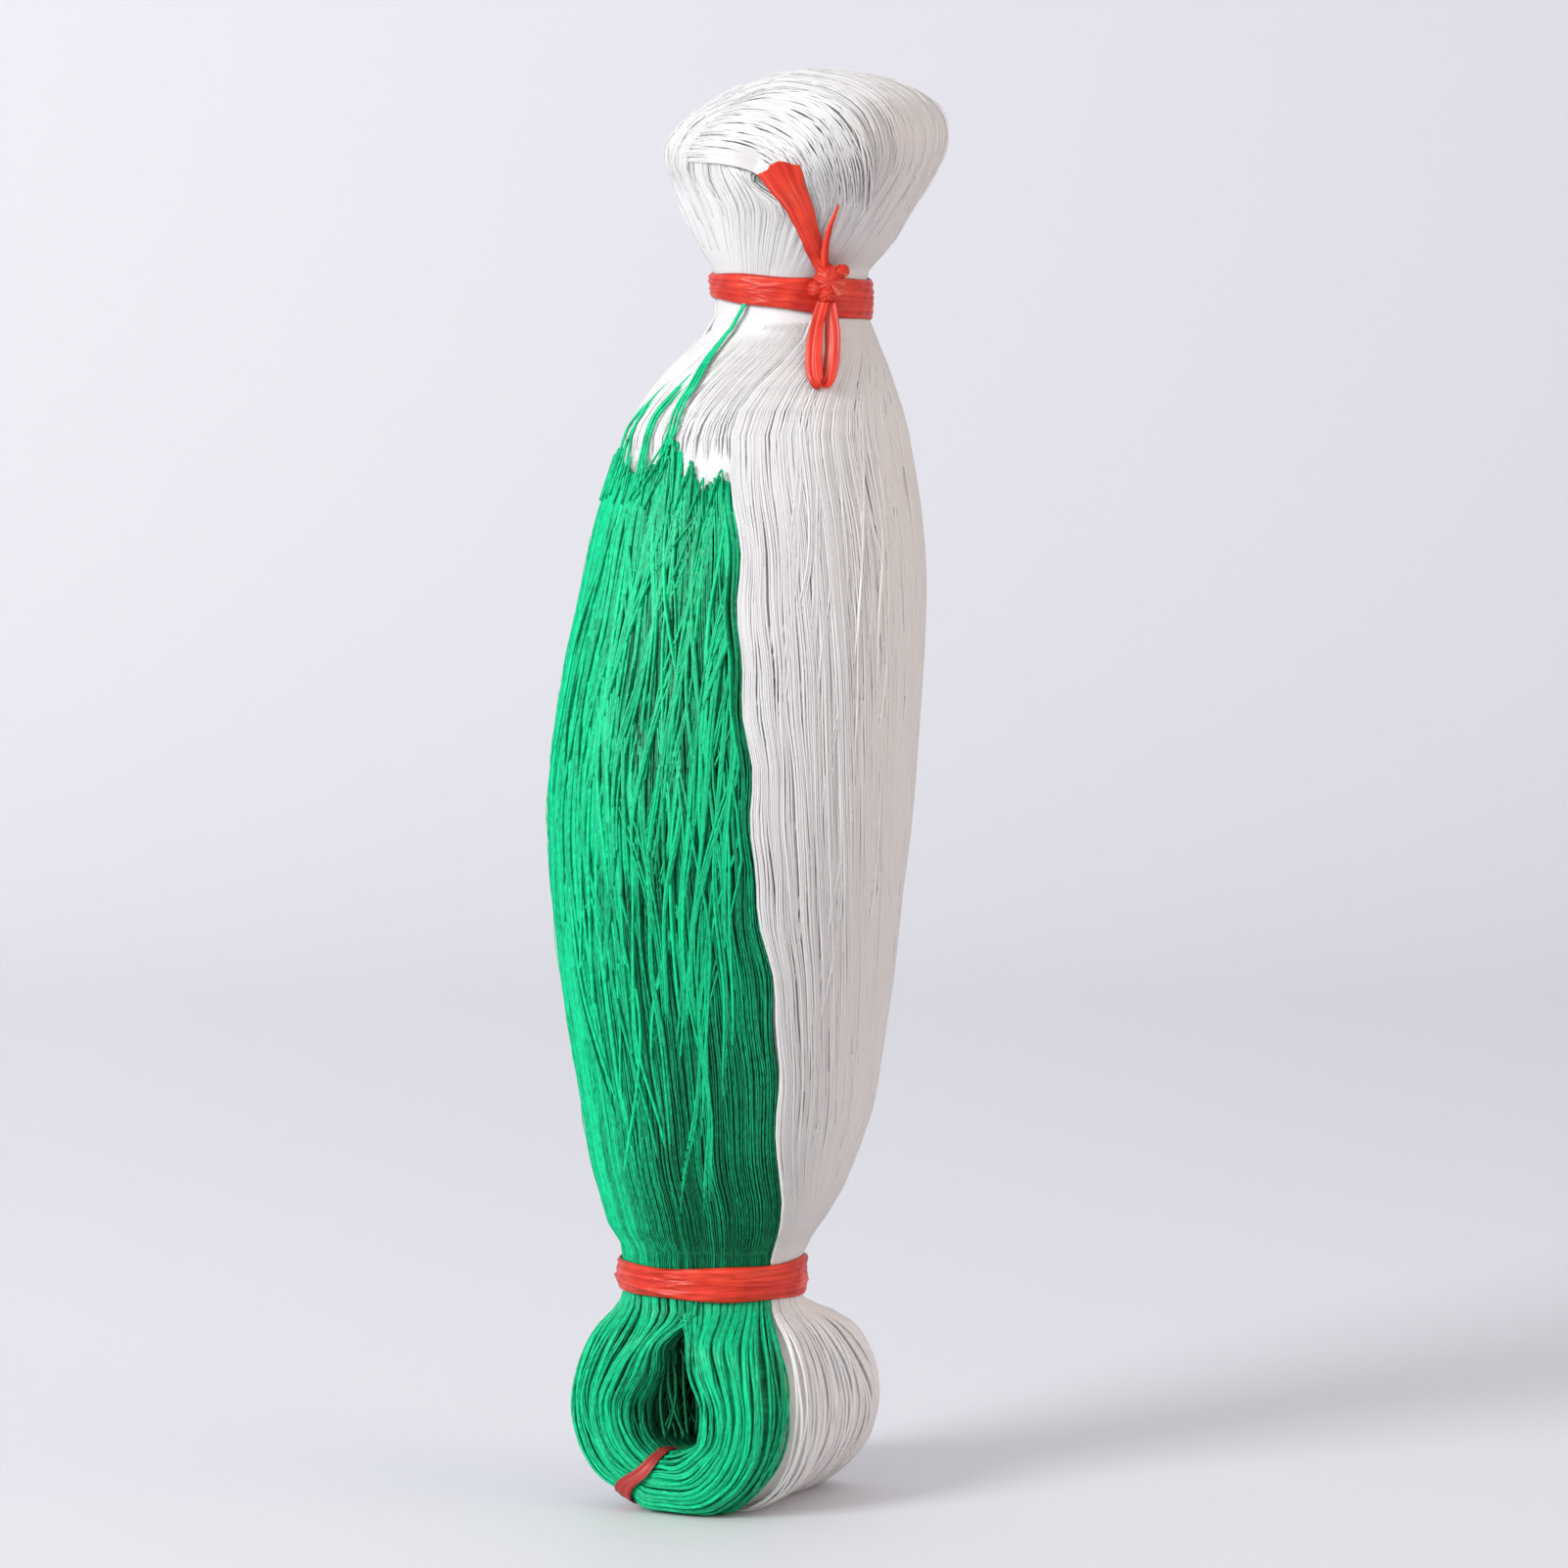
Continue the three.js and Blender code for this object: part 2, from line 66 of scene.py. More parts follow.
# Lower loop, a row for each section from the foot up to the neck.
LOOP_COLUMNS = "eye_left eye_right eye_z left left_z right right_z half_depth y ring relief"
LOOP_SECTIONS = [
    (-0.2, -1.8, 17.0, -0.2, -0.8, -1.8, -0.8, 35.5, 0, 1, 0.6),
    (-3.2, 1.6, 17.3, -8.5, -0.3, 8.0, -0.8, 35.9, 0, 1, 0.6),
    (-5.2, 3.4, 18.3, -11.2, 1.5, 13.5, -0.1, 36.1, 0, 1, 0.5),
    (-7.6, 5.6, 20.3, -15.8, 3.6, 19.0, 2.8, 36.3, 0, 1, 0.5),
    (-9.4, 7.2, 23.8, -23.5, 8.6, 25.2, 8.2, 36.5, 0, 1, 0.9),
    (-9.8, 7.8, 28.5, -30.2, 17.5, 30.6, 16.8, 36.5, 0, 1, 1),
    (-8.8, 7.4, 34.5, -33.0, 28.5, 33.0, 28.0, 36.5, -0.3, 1, 1),
    (-6.2, 6.6, 41.5, -31.5, 40.0, 31.5, 39.5, 35.4, -1.2, 0.9, 1),
    (-2.0, 5.2, 49.0, -29.0, 49.5, 27.8, 49.0, 32.0, -2.8, 0.6, 0.8),
]
# Necks and body, a row for each level oval section round x, y. seam is where the two limbs meet
# at the front, and the green ends at green_left and green_right, as turns in degrees.
BODY_COLUMNS = "z half_width half_depth x y green_left seam green_right relief"
BODY_SECTIONS = [
    (57.0, 25.3, 25.3, -2.5, -5.0, -76, 13, 71, 0),
    (71.5, 25.3, 25.3, -2.5, -5.0, -76, 10, 71, 0),
    (76.0, 28.8, 27.6, -2.4, -4.9, -76, 8, 68, 0.3),
    (86.0, 34.0, 30.8, -1.2, -3.8, -76, 4, 60, 0.8),
    (97.0, 38.0, 33.5, -0.6, -2.6, -76, 0, 52, 1),
    (112.0, 42.2, 36.3, 0.0, -1.3, -75, -3, 48, 1),
    (130.0, 45.3, 38.8, -0.3, -0.9, -74, -6, 45, 1),
    (150.0, 48.4, 41.0, -0.5, -0.7, -73, -9, 41, 1),
    (172.0, 51.0, 42.2, -0.5, -0.5, -72, -13, 37, 1),
    (194.0, 53.0, 43.1, 0.0, 0.2, -71, -16, 33, 1),
    (216.0, 53.0, 43.0, 0.5, 2.8, -70, -20, 29, 1),
    (238.0, 51.7, 42.0, 1.8, 5.8, -70, -23, 25, 1),
    (260.0, 49.6, 40.2, 3.2, 8.6, -70, -25, 20, 1),
    (276.0, 47.3, 38.3, 3.9, 9.8, -70, -27, 17, 1),
    (290.0, 43.4, 35.6, 5.0, 11.2, -70, -27, 13, 1),
    (302.0, 39.8, 33.3, 5.8, 12.0, -70, -24, 12, 1),
    (312.0, 34.6, 29.8, 7.2, 13.3, -68, -16, 18, 0.9),
    (320.0, 29.4, 26.3, 8.8, 14.6, -64, -6, 28, 0.6),
    (327.0, 23.8, 22.8, 10.8, 15.9, -60, 3, 38, 0.2),
    (331.0, 21.4, 21.4, 11.0, 16.0, -60, 8, 44, 0),
    (344.5, 21.4, 21.4, 11.0, 16.0, -60, 17, 54, 0),
    (348.0, 24.4, 22.9, 11.3, 16.4, -60, 18, 56, 0.3),
    (354.0, 28.7, 25.0, 11.7, 17.0, -60, 19, 58, 0.7),
    (362.0, 33.6, 27.2, 12.2, 17.3, -60, 20, 60, 0.9),
]
# Crown, a row for each section where the strands fold over from both sides to the top.
CROWN_COLUMNS = "seam seam_z left left_z right right_z half_depth y ring relief"
CROWN_SECTIONS = [
    (19.0, 368.5, -23.8, 370.5, 50.0, 373.0, 29.0, 18.0, 0.4, 1),
    (19.0, 371.0, -23.6, 378.0, 51.5, 382.5, 29.5, 18.5, 0.8, 1),
    (18.5, 372.0, -17.5, 386.0, 47.5, 391.0, 29.5, 18.8, 1, 1),
    (18.0, 372.5, -7.0, 393.0, 38.5, 396.5, 29.0, 19.0, 1, 1),
    (18.0, 372.8, 5.5, 397.8, 28.5, 399.0, 28.5, 19.0, 1, 1),
    (18.0, 373.0, 18.8, 400.0, 17.2, 400.0, 28.0, 19.0, 1, 0.8),
]
# The zigzag at the green's edge: turn in degrees and height.
GREEN_HEM = [
    (-70, 295), (-62, 296), (-56, 292), (-46, 292), (-37, 290), (-30, 290), (-23, 292), (-17, 297),
    (-13, 300), (-9, 296), (-7, 288), (-4, 294), (-2, 291), (0, 286), (3, 285), (6, 289), (9, 290),
    (13, 287),
]

# Meshes at the green's edge: turn and height of the peak, turns of the two feet, height of both.
HEM_COLUMNS = "peak_turn peak_z left_turn right_turn foot_z"
HEM_LOOPS = [
    (-60, 295, -63, -57, 286),
    (-54, 297, -57, -51, 287),
    (-45, 300, -48, -42, 288),
    (-37, 295, -41, -34, 286),
    (-26, 295, -30, -22, 286),
    (-14.5, 301.5, -30, -9, 288),
    (-13.5, 300, -27, -8, 287),
    (-14, 296, -20, -10, 285),
    (-3, 294, -6.5, 0, 284),
    (3, 290, 0, 6, 282),
    (9.5, 292.5, 6, 13, 283),
]
# Green twines above the zigzag: rows of height, turn and rise.
SELVAGE_TWINES = [
    [(290, -18, 0.2), (296.7, -17, 1.0), (301, -15, 1.5), (308.7, -16.3, 1.8), (313, -14.4, 2.0),
     (319.7, -15.6, 2.0), (326.6, -16.4, 2.0), (330, -14, 1.8), (334, -8, 1.4), (339, -2, 0)],
    [(290, -16.5, 0.2), (297, -15.5, 1.0), (302, -13.4, 1.4), (309, -14.4, 1.7), (314, -12.9, 1.9),
     (320, -14.2, 1.9), (326.6, -15.4, 2.0), (330, -13, 1.7), (334, -7.4, 1.3), (339, -2, 0)],
    [(290, -20, 0.2), (296, -18.6, 0.9), (301, -17.2, 1.4), (308, -18, 1.8), (313, -16.2, 2.2),
     (320, -16.8, 2.3), (327, -17.2, 1.8), (330, -15, 1.4), (334, -8.8, 1.1), (339, -3, 0)],
    [(284, -28, 0.2), (288, -28, 1.0), (298.7, -29, 1.3), (304, -29.6, 1.4), (309, -28, 0.9),
     (315, -24, -0.6)],
    [(284, -29.6, 0.2), (288, -29.8, 0.9), (298.7, -30.8, 1.2), (305, -31, 1.2), (310, -29, 0.6),
     (316, -25, -0.6)],
    [(283, -26.6, 0.2), (288, -26.6, 0.9), (298, -27.4, 1.2), (304, -27.8, 1.2), (308, -26.4, 0.6),
     (313, -23, -0.6)],
    [(284, -38, 0.2), (290, -39.8, 0.8), (300.6, -44, 0.9), (308, -45, 0.5), (314, -42, -0.6)],
    [(286, -50, 0), (292, -49, 0.5), (298, -46, 0.9), (304, -44, 0.8), (309, -42, -0.6)],
    [(288, -58, 0), (294, -56, 0.5), (300, -55, 0.8), (306, -50, 0.5), (310, -47, -0.6)],
]
CREASE_PLACE, CREASE_DEPTH = -0.415, 2.2
CREASE_START, CREASE_END = 466.0, 522.0  # runs over which the crown's crease lies
# Guides of the swirl that sweeps over the crown's front, seen from TIE_FRONT, from the inmost one
# outwards: distance to the right and height of each point.
SWIRL_GUIDES = [
    [(-16, 374.5), (-6, 374.8), (3, 373.6), (9, 371), (13, 366), (16, 359), (19.5, 350), (22, 344)],
    [(-16, 378.5), (-5, 378.8), (5, 377), (11.5, 373.8), (16, 369), (19, 362), (22, 352), (24, 344)],
    [(-10, 383.5), (-1, 385.8), (8, 385), (16.2, 381), (20.8, 375.5), (24, 367), (26.5, 356), (27, 344)],
    [(-4, 388.5), (8, 391), (18, 388.5), (25.5, 382), (29.3, 373), (31, 364), (31, 354), (29, 344)],
    [(3, 392), (14, 394.5), (26, 393), (35, 387), (39.5, 377), (39.5, 364), (36.5, 352), (33, 344)],
]
LOWER_TIE, UPPER_TIE = 64.4, 338.6  # heights of the ties' middles
BODY_STEPS = 44  # steps of a twine up the body
FUZZ_RADIUS = 0.11
GREEN_TOP, GREEN_CORE_TOP = 292.0, 278.0  # heights where the green twines and their core end
WHITE_FRONT_FOOT = 270.0  # where the white above the zigzag starts, under the green
WHITE_HEM = 290.0  # below it the white core makes room for the green
TIE_RUN, TIE_SLANT = 14.0, 7.5  # run of the loop tie outside, and how much less it is in the eye
TIE_PINCH = 4.5  # run over which the twines are drawn in beside the loop tie
LOOP_END, LOOP_FULL = 90.0, 70.0  # runs from the foot between which the lower loop's swell ends
FOLD_OVER = 12  # run over which the crease starts and ends
EYE_CLOSING, EYE_OPENING = 3.8, 3.0  # how far the limbs move beside the eye

# Ribbons, a row for each point of their path: right, front, height, width and fold.
TAIL_ROWS = [
    (27.4, 16.4, 342.6, 4.4, 0.8),
    (25.4, 15.8, 347.9, 5.0, 0.8),
    (23.6, 18.7, 352.0, 5.4, 0.7),
    (21.6, 21.2, 357.5, 6.2, 0.6),
    (19.4, 23.4, 363.0, 7.6, 0.5),
    (16.5, 25.5, 368.3, 9.6, 0.4),
    (13.3, 26.9, 374.8, 12.6, 0.2),
]
BOW_ROWS = [
    (26.6, 17.0, 336.5, 3.6, 0.3),
    (24.7, 19.2, 329.0, 4.8, 0.4),
    (24.0, 21.6, 321.0, 5.4, 0.4),
    (24.5, 23.6, 315.8, 5.0, 0.3),
    (25.9, 24.2, 314.0, 4.4, 0.2),
    (27.6, 23.4, 316.4, 4.8, 0.3),
    (28.5, 20.8, 323.2, 5.2, 0.4),
    (28.4, 18.8, 330.0, 4.6, 0.4),
    (27.8, 17.0, 336.5, 3.6, 0.3),
]
WISP_ROWS = [
    (26.8, 17.2, 345.0, 2.2, 0.3),
    (26.8, 19.0, 350.5, 2.0, 0.3),
    (28.0, 20.6, 356.5, 1.5, 0.2),
    (30.5, 21.8, 363.0, 0.6, 0.0),
]
# Lumps of the knot: middle in the same way, half sizes and a tilt in degrees.
KNOT_COLUMNS = "right front height half_width half_front half_height tilt"
KNOT_LUMPS = [
    (28.0, 16.9, 341.9, 4.6, 2.9, 5.6, 14),
    (31.2, 16.6, 344.6, 2.8, 2.2, 2.2, 30),
    (24.6, 16.9, 340.0, 3.0, 2.2, 2.6, -8),
    (27.4, 17.7, 338.6, 2.7, 2.5, 2.4, 0),
]


def named(columns, rows):
    """A table's rows as dictionaries."""
    keys = columns.split()
    return [dict(zip(keys, row)) for row in rows]


def mixed(a, b, share):
    """a where share is 0 and b where it is 1, straight in between."""
    return a + (b - a) * share


def smoothstep(low, high, value):
    """0 at low and 1 at high, with a soft start and end."""
    share = np.clip((value - low) / (high - low), 0, 1)
    return share * share * (3 - 2 * share)


def open_curve(values, at):
    """A smooth curve through rows of values, at positions counted in rows."""
    last = len(values) - 1
    padded = np.concatenate([2 * values[:1] - values[1:2], values, 2 * values[-1:] - values[-2:-1]])
    j = np.clip(np.floor(at).astype(int), 0, last - 1)
    t = (at - j)[:, None]
    p0, p1, p2, p3 = (padded[j + k] for k in range(4))
    return 0.5 * (2 * p1 + (p2 - p0) * t + (2 * p0 - 5 * p1 + 4 * p2 - p3) * t**2
                  + (3 * p1 - p0 - 3 * p2 + p3) * t**3)


def limb_sections(side):
    """The sections of one limb from the foot to the top; side is -1 on the left and 1 on the right."""
    def fold(row, inner, power):
        outer = (row["left"], row["left_z"]) if side < 0 else (row["right"], row["right_z"])
        power = mixed(2, power, row["ring"])
        return dict(row, kind="fold", inner=np.array(inner), outer=np.array(outer), power=power)

    def oval(row):
        edge = row["green_left"] if side < 0 else row["green_right"]
        start = row["seam"] - side * SEAM_OVERLAP
        return dict(row, kind="oval", start=start, edge=edge, end=side * (180 + SEAM_OVERLAP))

    eye = "eye_left" if side < 0 else "eye_right"
    loop = [fold(row, (row[eye], row["eye_z"]), LOOP_SQUARENESS)
            for row in named(LOOP_COLUMNS, LOOP_SECTIONS)]
    body = [oval(row) for row in named(BODY_COLUMNS, BODY_SECTIONS)]
    crown = [fold(row, (row["seam"] - side * LIMB_OVERLAP, row["seam_z"]), CROWN_SQUARENESS)
             for row in named(CROWN_COLUMNS, CROWN_SECTIONS)]
    return loop + body + crown


def spread(place, start, edge, end):
    """Place -1 lies at start, GREEN_PLACE at edge and 1 at end, straight in between."""
    return np.interp(place, [-1, GREEN_PLACE, 1], [start, edge, end])


def oval_points(section, side, place, rise):
    """x = middle + half width * sin turn, y = middle - half depth * cos turn; the hidden side,
    past place 1, is straight."""
    turn = np.radians(spread(place, section["start"], section["edge"], section["end"]))
    x = section["x"] + (section["half_width"] + rise) * np.sin(turn)
    y = section["y"] - (section["half_depth"] + rise) * np.cos(turn)
    ends = np.radians([section["start"], section["end"]])
    end_x = section["x"] + (section["half_width"] + rise) * np.sin(ends)
    end_y = section["y"] - (section["half_depth"] + rise) * np.cos(ends)
    share = np.clip((place - 1) / 2, 0, 1)
    hidden = place > 1
    x = np.where(hidden, mixed(end_x[1], end_x[0], share) - side * LIMB_OVERLAP, x)
    y = np.where(hidden, mixed(end_y[1], end_y[0], share), y)
    return np.stack([x, y, np.full_like(x, section["z"])], -1)


def fold_points(section, place, rise):
    """A superellipse between the section's inner and outer end; where ring is below 1 its hidden
    side draws flat."""
    half = 90 + 45 * section["ring"]
    shown = spread(place, -half, LOOP_GREEN_PLACE * half, half)
    hidden = mixed(half, 360 - half, (place - 1) / 2)
    angle = np.radians(np.where(place > 1, hidden, shown))
    cos, sin = np.cos(angle), np.sin(angle)
    power = section["power"]
    reach = (np.abs(cos) ** power + np.abs(sin) ** power) ** (-1 / power)
    across = section["outer"] - section["inner"]
    thickness = np.hypot(*across)
    middle = section["ring"] * thickness / 2
    out = middle + np.where(cos > 0, thickness - middle, middle) * cos * reach + rise * cos
    x = section["inner"][0] + across[0] / thickness * out
    z = section["inner"][1] + across[1] / thickness * out
    y = section["y"] + section["half_depth"] * sin * reach + rise * sin
    return np.stack([x, y, z], -1)


def limb_rings(side, place, rise):
    """Points (section, place, xyz) of one limb, in mm."""
    return np.array([
        oval_points(s, side, place, rise) if s["kind"] == "oval" else fold_points(s, place, rise)
        for s in limb_sections(side)])


def closed_curve(values, knots, at, length):
    """A smooth closed curve through rows of values at the knots: cubic pieces whose slope at a
    knot is that between its two neighbours."""
    before, after = np.roll(values, 1, 0), np.roll(values, -1, 0)
    gap_after = np.diff(np.append(knots, length))
    gap_before = np.roll(gap_after, 1)
    shape = (-1,) + (1,) * (values.ndim - 1)
    slope = (after - before) / (gap_after + gap_before).reshape(shape)
    j = np.searchsorted(knots, at % length, side="right") - 1
    gap = gap_after[j].reshape(shape)
    t = ((at % length - knots[j]) / gap_after[j]).reshape(shape)
    nxt = (j + 1) % len(knots)
    return ((2 * t**3 - 3 * t**2 + 1) * values[j] + (t**3 - 2 * t**2 + t) * gap * slope[j]
            + (3 * t**2 - 2 * t**3) * values[nxt] + (t**3 - t**2) * gap * slope[nxt])


class Skein:
    """The wound form. A point has a run, its distance in mm along the skein from the foot up the
    left limb, over the crown and down the right limb; a place, as on a section; and a rise."""
    RUN_STEP = 1.4
    PLACES = 361

    def __init__(self):
        place = np.linspace(-1, 3, self.PLACES)
        sections = limb_sections(1)
        self.rows = len(sections)
        rings = self.joined(place, 0.0)
        raised = self.joined(place, 1.0)
        outer = rings[:, self.PLACES // 4]
        steps = np.linalg.norm(np.diff(outer, axis=0, append=outer[:1]), axis=1)
        self.length = steps.sum()
        self.knots = np.concatenate([[0], np.cumsum(steps)[:-1]])
        fine = np.linspace(0, self.length, int(self.length / self.RUN_STEP), endpoint=False)
        self.fine = len(fine)
        self.surface = closed_curve(rings, self.knots, fine, self.length)
        self.outwards = closed_curve(raised - rings, self.knots, fine, self.length)
        relief = [s["relief"] for s in sections]
        relief = np.array(relief + relief[-2:0:-1], float)
        self.relief_line = np.clip(closed_curve(relief, self.knots, fine, self.length), 0, 1)
        self.oval_rows = [j for j, s in enumerate(sections) if s["kind"] == "oval"]
        self.levels = np.array([sections[j]["z"] for j in self.oval_rows])

    def joined(self, place, rise):
        """Both limbs as one closed loop of rings; they share their first and last ring."""
        left, right = limb_rings(-1, place, rise), limb_rings(1, place, rise)
        ends = (left[[0, -1]] + right[[0, -1]]) / 2
        return np.concatenate([ends[:1], left[1:-1], ends[1:], right[-2:0:-1]])

    def run_at(self, side, z):
        """The run at which a level section of one limb has height z."""
        rows = [j if side < 0 else 2 * (self.rows - 1) - j for j in self.oval_rows]
        return np.interp(z, self.levels, self.knots[rows])

    def sampled(self, table, run, place):
        """table's value between its nearest runs and places, straight in both."""
        u = (run % self.length) / self.length * self.fine
        v = ((place + 1) % 4) / 4 * (self.PLACES - 1)
        u0, v0 = np.floor(u).astype(int), np.minimum(np.floor(v).astype(int), self.PLACES - 2)
        fu, fv = (u - u0)[..., None], (v - v0)[..., None]
        u0, u1 = u0 % self.fine, (u0 + 1) % self.fine
        low = mixed(table[u0, v0], table[u0, v0 + 1], fv)
        high = mixed(table[u1, v0], table[u1, v0 + 1], fv)
        return mixed(low, high, fu)

    def relief(self, run):
        """How loose the skein is at a run: 0 at its ties and 1 where its clumps stand out."""
        grid = np.arange(self.fine + 1) / self.fine * self.length
        return np.interp(run % self.length, grid, np.append(self.relief_line, self.relief_line[0]))

    def outward(self, run, place):
        """The way out from the surface, of length 1."""
        out = self.sampled(self.outwards, run, place)
        return out / np.maximum(np.linalg.norm(out, axis=-1, keepdims=True), 1e-6)

    def point(self, run, place, rise):
        """The surface point, moved out by rise; points are in mm, in the hank's own frame."""
        at = self.sampled(self.surface, run, place)
        return at + self.outward(run, place) * rise[..., None] - BOX_MIDDLE


SKEIN = Skein()
BODY_CURVE = open_curve(np.array(BODY_SECTIONS, float), np.linspace(0, len(BODY_SECTIONS) - 1, 500))


def oval_at(z):
    """The oval's values at heights between the lower loop and the crown."""
    keys = BODY_COLUMNS.split()
    return {key: np.interp(z, BODY_CURVE[:, 0], BODY_CURVE[:, k]) for k, key in enumerate(keys)}


def on_body(z, turn, rise):
    """Points over the body at heights and turns in degrees from the front, and the way out there."""
    oval = oval_at(z)
    sin, cos = np.sin(np.radians(turn)), np.cos(np.radians(turn))
    out = np.stack([sin / oval["half_width"], -cos / oval["half_depth"], 0 * (z + turn)], -1)
    out /= np.linalg.norm(out, axis=-1, keepdims=True)
    x = oval["x"] + oval["half_width"] * sin
    y = oval["y"] - oval["half_depth"] * cos
    surface = np.stack(np.broadcast_arrays(x, y, z), -1) - BOX_MIDDLE
    return surface + out * rise[..., None], out


def waver(z):
    """How many degrees the edge between the green and the white strays from its smooth line."""
    return (1.1 * np.sin(z / 10.5 + 0.6) + 0.7 * np.sin(z / 4.6)) * smoothstep(80.0, 100.0, z)


def green_turn(z, share):
    """The turn at a share of the way from the green's left edge to its right edge."""
    oval = oval_at(z)
    return mixed(oval["green_left"], oval["green_right"], share) + waver(z) * np.clip(share, 0, 1) ** 8


def white_turn(z, share):
    """The turn at a share of the way round the white, from the green's right edge to its left."""
    oval = oval_at(z)
    near = np.clip(1 - share, 0, 1) ** 24
    return mixed(oval["green_right"], 360 + oval["green_left"], share) + waver(z) * near


def seen_points(right, front, height):
    """Points seen from TIE_FRONT: to the right, out to the front, and up."""
    turn = math.radians(TIE_FRONT)
    x = right * math.cos(turn) + front * math.sin(turn)
    y = right * math.sin(turn) - front * math.cos(turn)
    return np.stack([x, y, height], -1) - BOX_MIDDLE


TO_RIGHT = seen_points(1.0, 0.0, 0.0) - seen_points(0.0, 0.0, 0.0)
TO_VIEWER = seen_points(0.0, 1.0, 0.0) - seen_points(0.0, 0.0, 0.0)


class Front:
    """How far out the hank reaches towards a viewer who stands at TIE_FRONT: a grid over the
    distance to the right and the height, with the foremost surface point in each cell."""
    CELL = 1.6
    LEFT = -70.0
    BELOW = 3  # rows under the floor
    SPARE = 8
    NOWHERE = -60.0

    def __init__(self):
        turn = math.radians(TIE_FRONT)
        x, y, z = SKEIN.surface.reshape(-1, 3).T
        right = x * math.cos(turn) + y * math.sin(turn)
        front = x * math.sin(turn) - y * math.cos(turn)
        i = np.round((right - self.LEFT) / self.CELL).astype(int)
        j = np.round(z / self.CELL).astype(int) + self.BELOW
        grid = np.full((i.max() + self.SPARE, j.max() + self.SPARE), self.NOWHERE)
        np.maximum.at(grid, (i, j), front)
        for combine in (np.maximum.reduce, np.mean, np.mean, np.mean):
            near = [np.roll(grid, (a, b), (0, 1)) for a in (-1, 0, 1) for b in (-1, 0, 1)]
            grid = combine(near, axis=0)
        self.grid = grid

    def at(self, right, height):
        """The reach at a place, straight between its four nearest cells."""
        u, v = (right - self.LEFT) / self.CELL, height / self.CELL + self.BELOW
        i, j = np.floor(u).astype(int), np.floor(v).astype(int)
        low = mixed(self.grid[i, j], self.grid[i, j + 1], v - j)
        high = mixed(self.grid[i + 1, j], self.grid[i + 1, j + 1], v - j)
        return mixed(low, high, u - i)


def waves(rng, rows, at, longest, shortest, of=None, terms=4):
    """Smooth noise of about -1 to 1: for each row a sum of sines of random phase, whose wave
    lengths lie between longest and shortest. of names the row that each line of at takes."""
    lengths = np.exp(rng.uniform(math.log(shortest), math.log(longest), (terms, rows, 1)))
    phase = rng.uniform(0, 2 * math.pi, (terms, rows, 1))
    if of is not None:
        lengths, phase = lengths[:, of], phase[:, of]
    weight = (lengths / longest) ** 0.5
    total = (weight * np.sin(2 * math.pi * at / lengths + phase)).sum(0)
    return total / np.sqrt((weight**2).sum(0) / 2) / 2


def mesh_object(name, points, faces, uv=None, tone=None):
    """An object from whole arrays. points are in metres; faces is a list of (count, corners)
    index arrays; uv has a row for each corner and tone a number for each point."""
    mesh = bpy.data.meshes.new(name)
    corners = np.concatenate([f.ravel() for f in faces])
    sizes = np.concatenate([np.full(len(f), f.shape[1]) for f in faces])
    mesh.vertices.add(len(points))
    mesh.vertices.foreach_set("co", points.astype(np.float32).ravel())
    mesh.loops.add(len(corners))
    mesh.loops.foreach_set("vertex_index", corners.astype(np.int32))
    mesh.polygons.add(len(sizes))
    mesh.polygons.foreach_set("loop_start", np.concatenate([[0], np.cumsum(sizes)[:-1]]).astype(np.int32))
    mesh.polygons.foreach_set("use_smooth", np.ones(len(sizes), bool))
    mesh.update(calc_edges=True)
    if uv is not None:
        layer = mesh.uv_layers.new(name="run")
        layer.data.foreach_set("uv", uv.astype(np.float32).ravel())
    if tone is not None:
        attribute = mesh.attributes.new("tone", "FLOAT", "POINT")
        attribute.data.foreach_set("value", tone.astype(np.float32))
    mesh.validate()
    made = bpy.data.objects.new(name, mesh)
    bpy.context.scene.collection.objects.link(made)
    return made


def tubes(name, centre, facing, radius, tone, sides=3):
    """Twines as closed tubes. centre is (twine, step, xyz); facing, radius and tone are given for
    each step, each twine or all. A ring of the tube is centre + radius * (cos a * up + sin a *
    across)."""
    twines, steps = centre.shape[:2]
    centre = centre * MM
    radius, tone = (np.broadcast_to(values, (twines, steps)) for values in (radius, tone))
    ahead = np.gradient(centre, axis=1)
    ahead /= np.maximum(np.linalg.norm(ahead, axis=-1, keepdims=True), 1e-9)
    across = np.cross(facing, ahead)
    across /= np.maximum(np.linalg.norm(across, axis=-1, keepdims=True), 1e-9)
    up = np.cross(ahead, across)
    angle = np.linspace(0, 2 * math.pi, sides, endpoint=False)[:, None]
    ring = np.cos(angle) * up[:, :, None] + np.sin(angle) * across[:, :, None]
    points = centre[:, :, None] + ring * (radius * MM)[:, :, None, None]
    i = np.arange(twines)[:, None, None]
    j = np.arange(steps - 1)[None, :, None]
    k = np.arange(sides)[None, None, :]
    def at(j, k):
        return (i * steps + j) * sides + k % sides
    quads = np.stack([at(j, k), at(j, k + 1), at(j + 1, k + 1), at(j + 1, k)], -1)
    travel = np.cumsum(np.linalg.norm(np.diff(centre, axis=1), axis=-1), 1)
    travel = np.concatenate([np.zeros((twines, 1)), travel], 1)[:, :, None]
    here, there, low, high = np.broadcast_arrays(
        travel[:, :-1], travel[:, 1:], k / sides, (k + 1) / sides)
    uv = np.stack([here, low, here, high, there, high, there, low], -1)
    first = i[:, 0] * steps * sides
    start = first + np.arange(sides)[::-1]
    end = first + (steps - 1) * sides + np.arange(sides)
    coords = np.concatenate([uv.reshape(-1, 2), np.zeros((2 * twines * sides, 2))])
    shade = np.repeat(tone.ravel(), sides)
    return mesh_object(name, points.reshape(-1, 3), [quads.reshape(-1, 4), start, end], coords, shade)


